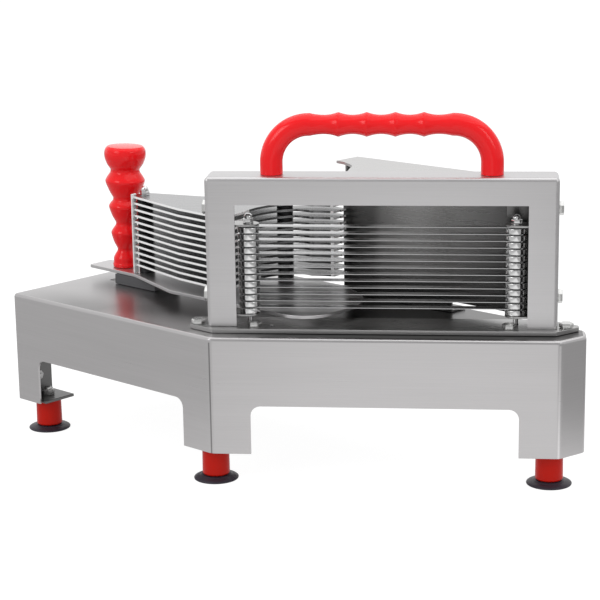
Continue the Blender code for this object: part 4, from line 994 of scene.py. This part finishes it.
def turned(profile, sides, centre, name):
    """Turn a profile of radius and height points about an upright axis."""
    shape = bmesh.new()
    rings = []
    for radius, height in profile:
        if radius < ON_AXIS:
            rings.append([shape.verts.new((centre[0], centre[1], height))])
            continue
        ring = []
        for i in range(sides):
            angle = math.tau * i / sides
            x = centre[0] + radius * math.cos(angle)
            y = centre[1] + radius * math.sin(angle)
            ring.append(shape.verts.new((x, y, height)))
        rings.append(ring)
    for ring, after in zip(rings, rings[1:]):
        for i in range(sides):
            j = (i + 1) % sides
            if len(ring) == 1 and len(after) == 1:
                continue
            if len(ring) == 1:
                shape.faces.new((ring[0], after[j], after[i]))
            elif len(after) == 1:
                shape.faces.new((ring[i], ring[j], after[0]))
            else:
                shape.faces.new((ring[i], ring[j], after[j], after[i]))
    bmesh.ops.recalc_face_normals(shape, faces=shape.faces)
    return mesh_from(shape, name)


def drum(radius, bottom, top):
    """Give the profile of a plain drum."""
    return [(0, bottom), (radius, bottom), (radius, top), (0, top)]


def eased(points, radius, steps=4):
    """Round each inner corner of a profile by up to a radius."""
    result = [points[0]]
    for before, corner, after in zip(points, points[1:], points[2:]):
        a, b, c = Vector(before), Vector(corner), Vector(after)
        reach = min(radius, (a - b).length * 0.45, (c - b).length * 0.45)
        if reach < NO_CORNER:
            result.append(corner)
            continue
        first = b + (a - b).normalized() * reach
        last = b + (c - b).normalized() * reach
        for i in range(steps + 1):
            share = i / steps
            point = (1 - share) ** 2 * first + 2 * share * (1 - share) * b + share ** 2 * last
            result.append((point.x, point.y))
    result.append(points[-1])
    return result


def middle(node):
    """Give the upright axis and the lowest and highest level of a node."""
    low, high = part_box(node)
    return ((low.x + high.x) / 2, (low.y + high.y) / 2), low.z, high.z


# %% [markdown]
# ## Blade rods
#
# A rod stands at each end of the blades. Bright turned spacers keep the blades
# apart, and a domed nut closes the top. In the photograph each spacer has a
# bright middle, dark sides and a dark line above and below, so each is a
# separate ring with eased rims, made with the stack tree.

# %% Rods and spacers
BLADE_STOCK = 0.0005
SEAT_GAP = 0.0003
ROD_RADIUS = 0.0022
SPACER_RADIUS = 0.00875
SPACER_EASE = 0.0006
NUT_RADIUS = 0.0042
NUT_HEIGHT = 0.0080
DOME_STEPS = 8
ROUND_SIDES = 48
ROD_SIDES = 24


def domed_nut(centre, bottom, radius, top, name):
    """Make a hexagon nut that ends in a dome, with a washer face below."""
    height = top - bottom
    hexagon = [
        (0, bottom + height * 0.05), (radius * 0.96, bottom + height * 0.05),
        (radius, bottom + height * 0.10), (radius, bottom + height * 0.42),
        (radius * 0.90, bottom + height * 0.48), (0, bottom + height * 0.48),
    ]
    dome_radius = radius * 0.80
    dome = [(0, bottom + height * 0.46), (dome_radius, bottom + height * 0.46)]
    spring = bottom + height * 0.58
    for i in range(DOME_STEPS + 1):
        angle = math.pi / 2 * i / DOME_STEPS
        dome.append((dome_radius * math.cos(angle), spring + (top - spring) * math.sin(angle)))
    washer = drum(radius * 1.04, bottom, bottom + height * 0.06)
    parts = [
        turned(hexagon, 6, centre, name), turned(dome, ROUND_SIDES, centre, name),
        turned(washer, ROUND_SIDES, centre, name),
    ]
    return merged(parts, name)


def spacer_ring(centre, bottom, top, inner, outer, rim, name):
    """Make one turned spacer with eased rims."""
    profile = [(inner, bottom), (outer, bottom), (outer, top), (inner, top)]
    return turned(eased(profile, rim, 3), ROUND_SIDES, centre, name)


def plain_rod(centre, low, high, radius):
    """Make a rod that ends inside its domed nut."""
    return turned(drum(radius, low, high - 0.002), ROD_SIDES, centre, "rod")


for side in ("left", "right"):
    node = "blade_rod_" + side
    centre, low, high = middle(node)
    ring = spacer_ring(
        centre, top_blade - blade_pitch + SEAT_GAP, top_blade - BLADE_STOCK - SEAT_GAP,
        ROD_RADIUS, SPACER_RADIUS, SPACER_EASE, "ring",
    )
    values = {"Count": len(BLADES), "Pitch": blade_pitch, "Finish": CHROME}
    rings = run_tree(STACK, ring, "rings", values)
    rod = plain_rod(centre, low, high, ROD_RADIUS)
    nut = domed_nut(centre, high - NUT_HEIGHT, NUT_RADIUS, high, "nut")
    whole = merged([rings, rod, nut], "spaced_rod_" + side)
    make_piece("spaced_rod_" + side, whole, "stand", [node], CHROME)

# %% [markdown]
# ## Slat rods
#
# The slats are threaded on three rods with dark spacers between them. The
# domed nuts on top are bright, so they are a piece of their own.

# %% Slat rods
SLAT_ROD_RADIUS = 0.0025
SLAT_SPACER_RADIUS = 0.0070
SLAT_SPACER_EASE = 0.0004
plate_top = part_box("carriage_plate")[1].z
plate_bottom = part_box("carriage_plate")[0].z


def slat_spacer(centre, bottom, top):
    """Make one dark spacer of a slat rod."""
    return spacer_ring(
        centre, bottom, top, SLAT_ROD_RADIUS, SLAT_SPACER_RADIUS, SLAT_SPACER_EASE, "spacer"
    )


for place in ("tail", "middle", "far"):
    node = "slat_rod_" + place
    centre, low, high = middle(node)
    slat_bottom = top_slat - SLAT_STOCK - SEAT_GAP
    ring = slat_spacer(centre, top_slat - blade_pitch + SEAT_GAP, slat_bottom)
    values = {"Count": len(SLATS) - 1, "Pitch": blade_pitch, "Finish": DARK}
    rings = run_tree(STACK, ring, "rings", values)
    foot = slat_spacer(centre, plate_top + SEAT_GAP, slat_bottom - (len(SLATS) - 1) * blade_pitch)
    whole = merged([rings, foot], "slat_spacers_" + place)
    make_piece("slat_spacers_" + place, whole, "carriage", [node], DARK)
    nut = domed_nut(centre, high - NUT_HEIGHT, NUT_RADIUS, high, "nut")
    rod = plain_rod(centre, low, high, SLAT_ROD_RADIUS)
    under = [
        (0, low + 0.0002), (0.0042, low + 0.0002), (0.0045, low + 0.0006),
        (0.0045, low + 0.004), (0, low + 0.004),
    ]
    whole = merged([nut, rod, turned(under, 6, centre, "under")], "slat_bolt_" + place)
    make_piece("slat_bolt_" + place, whole, "carriage", [], CHROME)

# %% [markdown]
# ## Bolts
#
# Four hexagon bolts hold the portal down and four more pull the rod holders
# outwards. Their solids are plain prisms. A real head has a washer face and a
# crown that is turned down at the corners, so one head is made from a hexagon
# and a chamfered cap, and the second tree sets it on marked points.

# %% Bolt forms and places
BOLT_RADIUS = 0.0030
HEAD_RADIUS = 0.0058
HEAD_HEIGHT = 0.0040
SIDE_SHANK = 0.0130
PLATE_DROP = 0.0061


def hexagon_head(name, shank, nut_drop):
    """Make a bolt that points up: head above zero, shank and nut below."""
    flat = HEAD_RADIUS * math.cos(math.pi / 6)
    low = SEAT_GAP
    crown = [
        (0, low + 0.0004), (HEAD_RADIUS * 0.99, low + 0.0004), (HEAD_RADIUS, low + 0.0008),
        (HEAD_RADIUS, HEAD_HEIGHT - 0.0007), (HEAD_RADIUS * 0.90, HEAD_HEIGHT), (0, HEAD_HEIGHT),
    ]
    washer = drum(flat, low, low + 0.0005)
    stem = [
        (0, -shank), (BOLT_RADIUS - 0.0004, -shank), (BOLT_RADIUS, -shank + 0.0004),
        (BOLT_RADIUS, low), (0, low),
    ]
    parts = [
        turned(crown, 6, (0, 0), name), turned(washer, ROUND_SIDES, (0, 0), name),
        turned(stem, ROD_SIDES, (0, 0), name),
    ]
    if nut_drop:
        top = -nut_drop
        nut = [
            (0, top - 0.005), (HEAD_RADIUS * 0.93, top - 0.005), (HEAD_RADIUS, top - 0.0045),
            (HEAD_RADIUS, top), (0, top),
        ]
        parts.append(turned(nut, 6, (0, 0), name))
    form = bpy.data.objects.new(name, merged(parts, name))
    scene.collection.objects.link(form)
    return form


def marked_points(places, name):
    """Make points that each hold the direction of their piece."""
    mesh = bpy.data.meshes.new(name)
    mesh.from_pydata([place for place, aim in places], [], [])
    layer = mesh.attributes.new("aim", "FLOAT_VECTOR", "POINT")
    for i, (place, aim) in enumerate(places):
        layer.data[i].vector = aim
    return mesh


def set_bolts(name, form, places, nodes, finish=FIXING):
    """Set one bolt form on its places and drop the form."""
    points = marked_points(places, name)
    values = {"Form": form, "Finish": finish}
    mesh = run_tree(ON_POINTS, points, name, values)
    bpy.data.objects.remove(form)
    make_piece(name, mesh, "stand", nodes, finish)


plate_bolts = [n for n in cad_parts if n.startswith("plate_bolt")]
portal_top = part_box("frame_plate")[1].z
places = [((*middle(n)[0], portal_top), (0, 0, 1)) for n in plate_bolts]
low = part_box(plate_bolts[0])[0].z
form = hexagon_head("portal_bolt_form", portal_top - low, PLATE_DROP)
set_bolts("portal_bolts", form, places, plate_bolts)

side_bolts = [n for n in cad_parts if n.startswith("tension_bolt")]
portal_low, portal_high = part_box("blade_frame")
places = []
for node in side_bolts:
    low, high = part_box(node)
    on_left = high.x < (portal_low.x + portal_high.x) / 2
    x = portal_low.x if on_left else portal_high.x
    y, z = (low.y + high.y) / 2, (low.z + high.z) / 2
    places.append(((x, y, z), (-1 if on_left else 1, 0, 0)))
set_bolts("side_bolts", hexagon_head("side_bolt_form", SIDE_SHANK, 0), places, side_bolts)

# %% [markdown]
# ## Bracket nuts
#
# Each bracket of the narrow end is bolted through the end panel, with the head
# outside and a nut inside. The bracket's own solid tells where: its widest
# upright face is the flange, and what lies farthest behind that face is the
# bolt head. The nut goes on the flange in line with the head.

# %% Nuts on the bracket flanges
NEARLY_LEVEL = 0.1
TURNED_INWARDS = 0.3
INWARDS = Vector((1, 0, 0))


def nut_place(node):
    """Give the place and direction of the nut on a bracket's flange."""
    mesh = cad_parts[node].data
    upright = [
        face for face in mesh.polygons
        if abs(face.normal.z) < NEARLY_LEVEL and face.normal.dot(INWARDS) > TURNED_INWARDS
    ]
    widest = max(upright, key=lambda face: face.area)
    aim = widest.normal.copy()
    depths = [v.co.dot(aim) for v in mesh.vertices]
    head = [v.co for v, depth in zip(mesh.vertices, depths) if depth < min(depths) + 0.0005]
    centre = sum(head, Vector()) / len(head)
    return centre + aim * (widest.center.dot(aim) - centre.dot(aim)), aim


def flange_nut(name):
    """Make a low nut with the end of its bolt standing proud."""
    nut = [(0, SEAT_GAP), (0.0046, SEAT_GAP), (0.0046, 0.0026), (0.0042, 0.0030), (0, 0.0030)]
    end = [(0, -0.0010), (0.0021, -0.0010), (0.0021, 0.0044), (0.0017, 0.0048), (0, 0.0048)]
    parts = [turned(nut, 6, (0, 0), name), turned(end, ROD_SIDES, (0, 0), name)]
    form = bpy.data.objects.new(name, merged(parts, name))
    scene.collection.objects.link(form)
    return form


brackets = ("foot_bracket_left", "foot_bracket_rear")
places = [nut_place(node) for node in brackets]
print("flange nuts at", [tuple(round(v, 4) for v in place) for place, aim in places])
set_bolts("bracket_nuts", flange_nut("bracket_nut_form"), places, [], PLATE)

# %% [markdown]
# ## The carrying handle
#
# The handle is one red moulding: a round bar bent through two quarter turns,
# with five finger hollows between four crests. It follows a path, so a
# Geometry Nodes tree sweeps a circle along a line of points, and each point
# holds its own thickness. The line and the thickness come from short rules.

# %% Handle
HANDLE_BEND = 0.0300
HANDLE_RADIUS = 0.0090
CREST_RADIUS = 0.0098
HOLLOW_RADIUS = 0.0076
GRIP_PITCH = 0.0224
CRESTS = 4
LEG_SHIFT = 0.0030
LEVEL_DROP = 0.0022
BEND_STEPS = 24
BAR_STEPS = 120
HANDLE_SIDES = 40
HANDLE_SHARP = math.radians(50.0)


def sweep_tree():
    """Sweep a circle along a line whose points hold their thickness."""
    inputs = (("Sides", "Int"), ("Finish", "Material"))
    network, given = new_tree("thick_sweep", inputs)
    thick = network.node(
        "GeometryNodeInputNamedAttribute", {"data_type": "FLOAT"}, {"Name": "thick"}
    )
    path = network.node("GeometryNodeMeshToCurve", sockets={0: given["Geometry"]})
    sockets = {"Resolution": given["Sides"], "Radius": 1.0}
    ring = network.node("GeometryNodeCurvePrimitiveCircle", sockets=sockets)
    tube = network.node(
        "GeometryNodeCurveToMesh",
        sockets={"Curve": path, "Profile Curve": ring, "Scale": thick, "Fill Caps": True},
    )
    close_tree(network, tube, given["Finish"])
    return network.tree


def grip_radius(offset):
    """Give the handle's radius at a distance from its middle."""
    span = abs(offset)
    if span >= GRIP_PITCH * (CRESTS + 1) / 2:
        return HANDLE_RADIUS
    hollow = round(span / GRIP_PITCH) * GRIP_PITCH
    share = 2 * abs(span - hollow) / GRIP_PITCH
    crest = CREST_RADIUS
    if span > hollow and hollow > GRIP_PITCH * (CRESTS - 1) / 2:
        crest = HANDLE_RADIUS
    return HOLLOW_RADIUS + (crest - HOLLOW_RADIUS) * share ** 2


def handle_points():
    """List the handle's points with the thickness at each."""
    low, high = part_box("top_handle")
    y = (low.y + high.y) / 2
    left = low.x + HANDLE_RADIUS + LEG_SHIFT
    right = high.x - HANDLE_RADIUS - LEG_SHIFT
    foot = portal_high.z + SEAT_GAP
    level = high.z - CREST_RADIUS - LEVEL_DROP
    centre = (left + right) / 2
    points = [(left, foot, HANDLE_RADIUS)]
    bend = level - HANDLE_BEND
    for i in range(BEND_STEPS + 1):
        angle = math.pi / 2 * i / BEND_STEPS
        x = left + HANDLE_BEND * (1 - math.cos(angle))
        points.append((x, bend + HANDLE_BEND * math.sin(angle), HANDLE_RADIUS))
    reach = (right - left) / 2 - HANDLE_BEND
    for i in range(1, BAR_STEPS):
        offset = -reach + 2 * reach * i / BAR_STEPS
        points.append((centre + offset, level, grip_radius(offset)))
    for i in range(BEND_STEPS + 1):
        angle = math.pi / 2 * (1 - i / BEND_STEPS)
        x = right - HANDLE_BEND * (1 - math.cos(angle))
        points.append((x, bend + HANDLE_BEND * math.sin(angle), HANDLE_RADIUS))
    points.append((right, foot, HANDLE_RADIUS))
    return [((x, y, z), radius) for x, z, radius in points]


points = handle_points()
line = bpy.data.meshes.new("handle_line")
steps = [(i, i + 1) for i in range(len(points) - 1)]
line.from_pydata([place for place, radius in points], steps, [])
layer = line.attributes.new("thick", "FLOAT", "POINT")
for i, (place, radius) in enumerate(points):
    layer.data[i].value = radius
values = {"Sides": HANDLE_SIDES, "Finish": RED}
handle = run_tree(sweep_tree(), line, "carrying_handle", values)
handle.shade_smooth()
handle.set_sharp_from_angle(angle=HANDLE_SHARP)
make_piece("carrying_handle", handle, "stand", ["top_handle"], RED)

# %% [markdown]
# ## The push knob
#
# The knob is a tall red moulding, thick and thin by turns to suit four
# fingers, with a flared cap. Its profile is a list of heights and radii as
# shares of its whole size. Each lobe swells to a crisp ring, so the corners of
# the profile are only eased a little before it is turned. In the photograph
# the knob leans by two degrees, and the finished mesh is tilted about its foot.

# %% Knob
KNOB_RADIUS = 0.0186
KNOB_HEIGHT_SHARE = 0.955
KNOB_EASE = 0.0016
KNOB_LEAN = math.radians(1.9)
KNOB_SHIFT = 0.0044
SMOOTH_SIDES = 64
KNOB_SHARES = (
    (0.000, 0.57), (0.020, 0.60), (0.035, 0.56), (0.075, 0.56), (0.097, 0.50),
    (0.135, 0.37), (0.152, 0.37), (0.205, 0.54), (0.262, 0.65), (0.290, 0.68),
    (0.312, 0.61), (0.350, 0.45), (0.370, 0.44), (0.422, 0.62), (0.480, 0.75),
    (0.508, 0.79), (0.532, 0.71), (0.556, 0.58), (0.576, 0.57), (0.625, 0.74),
    (0.690, 0.91), (0.720, 0.96), (0.748, 0.87), (0.790, 0.70), (0.812, 0.69),
    (0.852, 0.86), (0.905, 0.98), (0.940, 1.00), (0.980, 0.96), (1.000, 0.84),
)


centre, low, high = middle("knob")
centre = (centre[0] + KNOB_SHIFT, centre[1])
foot = plate_top + SEAT_GAP
height = (high - foot) * KNOB_HEIGHT_SHARE
outline = [(KNOB_RADIUS * radius, foot + height * share) for share, radius in KNOB_SHARES]
profile = [(0, foot), (outline[0][0] - 0.0006, foot)] + eased(outline, KNOB_EASE, 5)
profile += [(KNOB_RADIUS * 0.60, outline[-1][1] + 0.0004), (0, outline[-1][1] + 0.0005)]
knob = turned(profile, SMOOTH_SIDES, centre, "push_knob")
pivot = Matrix.Translation((*centre, foot))
knob.transform(pivot @ Matrix.Rotation(KNOB_LEAN, 4, "Y") @ pivot.inverted())
for vertex in knob.vertices:
    vertex.co.z = max(vertex.co.z, foot)
make_piece("push_knob", knob, "carriage", ["knob"], RED)
seat = plate_bottom - SEAT_GAP
nut = [(0, low), (0.0061, low), (0.0065, low + 0.0004), (0.0065, seat), (0, seat)]
make_piece("knob_nut", turned(nut, 6, centre, "knob_nut"), "carriage", [], FIXING)

# %% [markdown]
# ## Feet
#
# Each foot is a red sleeve over a stud, standing on a black suction cup. The
# cup is a thin dish with a rolled rim, and its stud rises through the sleeve
# to a nut above the leg.

# %% Feet
CUP_RADIUS = 0.0182
CUP_HEIGHT = 0.0036
SLEEVE_DROP = 0.0042
SLEEVE_RADIUS = 0.0112
STUD_RADIUS = 0.0030
STUD_BORE = 0.0033
FOOT_NUT = 0.0055


def through(points, steps):
    """Draw a smooth curve through the points of a profile."""
    result = [points[0]]
    last = len(points) - 1
    for i in range(last):
        before, start = Vector(points[max(i - 1, 0)]), Vector(points[i])
        end, after = Vector(points[i + 1]), Vector(points[min(i + 2, last)])
        knots = (start, start + (end - before) / 6, end - (after - start) / 6, end)
        curve = interpolate_bezier(*(knot.to_3d() for knot in knots), steps + 1)
        result += [(point.x, point.y) for point in curve[1:]]
    return result


def cup_profile(low):
    """Draw the dish: hollow below, rolled rim and shallow top."""
    return [
        (0, low + 0.0022), (0.0095, low + 0.0022), (0.0130, low + 0.0013), (0.0148, low + 0.0001),
        (0.0160, low), (CUP_RADIUS - 0.0004, low), (CUP_RADIUS, low + 0.0004),
        (CUP_RADIUS, low + 0.0009), (CUP_RADIUS - 0.0006, low + 0.0014), (0.0160, low + 0.0021),
        (0.0130, low + 0.0029), (0.0110, low + CUP_HEIGHT), (0, low + CUP_HEIGHT),
    ]


for corner in ("left", "middle", "right", "rear"):
    node = "suction_cup_" + corner
    low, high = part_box(node)
    sleeve_low, sleeve_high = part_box("foot_sleeve_" + corner)
    centre = ((sleeve_low.x + sleeve_high.x) / 2, (sleeve_low.y + sleeve_high.y) / 2)
    outline = [(radius, max(height, low.z)) for radius, height in through(cup_profile(low.z), 3)]
    cup = turned(outline, SMOOTH_SIDES, centre, "cup_" + corner)
    make_piece("cup_" + corner, cup, "stand", [node], RUBBER)
    bottom, top = sleeve_low.z - SLEEVE_DROP, sleeve_high.z
    profile = [
        (STUD_BORE, bottom), (SLEEVE_RADIUS - 0.0008, bottom), (SLEEVE_RADIUS, bottom + 0.0010),
        (SLEEVE_RADIUS - 0.0002, top - 0.0010), (SLEEVE_RADIUS - 0.0010, top), (STUD_BORE, top),
    ]
    sleeve = turned(eased(profile, 0.0004, 3), SMOOTH_SIDES, centre, "sleeve_" + corner)
    make_piece("sleeve_" + corner, sleeve, "stand", ["foot_sleeve_" + corner], SLEEVE)
    bottom = low.z + CUP_HEIGHT
    stud = [(0, bottom), (STUD_RADIUS, bottom), (STUD_RADIUS, high.z - 0.0004), (0, high.z)]
    top = high.z - 0.002
    bottom = top - 0.005
    nut = [
        (0, bottom), (FOOT_NUT, bottom), (FOOT_NUT, top - 0.0005),
        (FOOT_NUT - 0.0005, top), (0, top),
    ]
    parts = [turned(stud, ROD_SIDES, centre, "stud"), turned(nut, 6, centre, "nut")]
    whole = merged(parts, "foot_stud_" + corner)
    make_piece("foot_stud_" + corner, whole, "stand", [], FIXING)

# %% [markdown]
# ## Last look
#
# The size of the dressed slicer's box is written down in millimetres. The
# dressed slicer has to stay inside the box of its solids.

# %% Sizes and finish
dressed_low, dressed_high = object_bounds()
spans = [round((b - a) * 1000, 1) for a, b in zip(dressed_low, dressed_high)]
print("dressed box in millimetres:", spans)
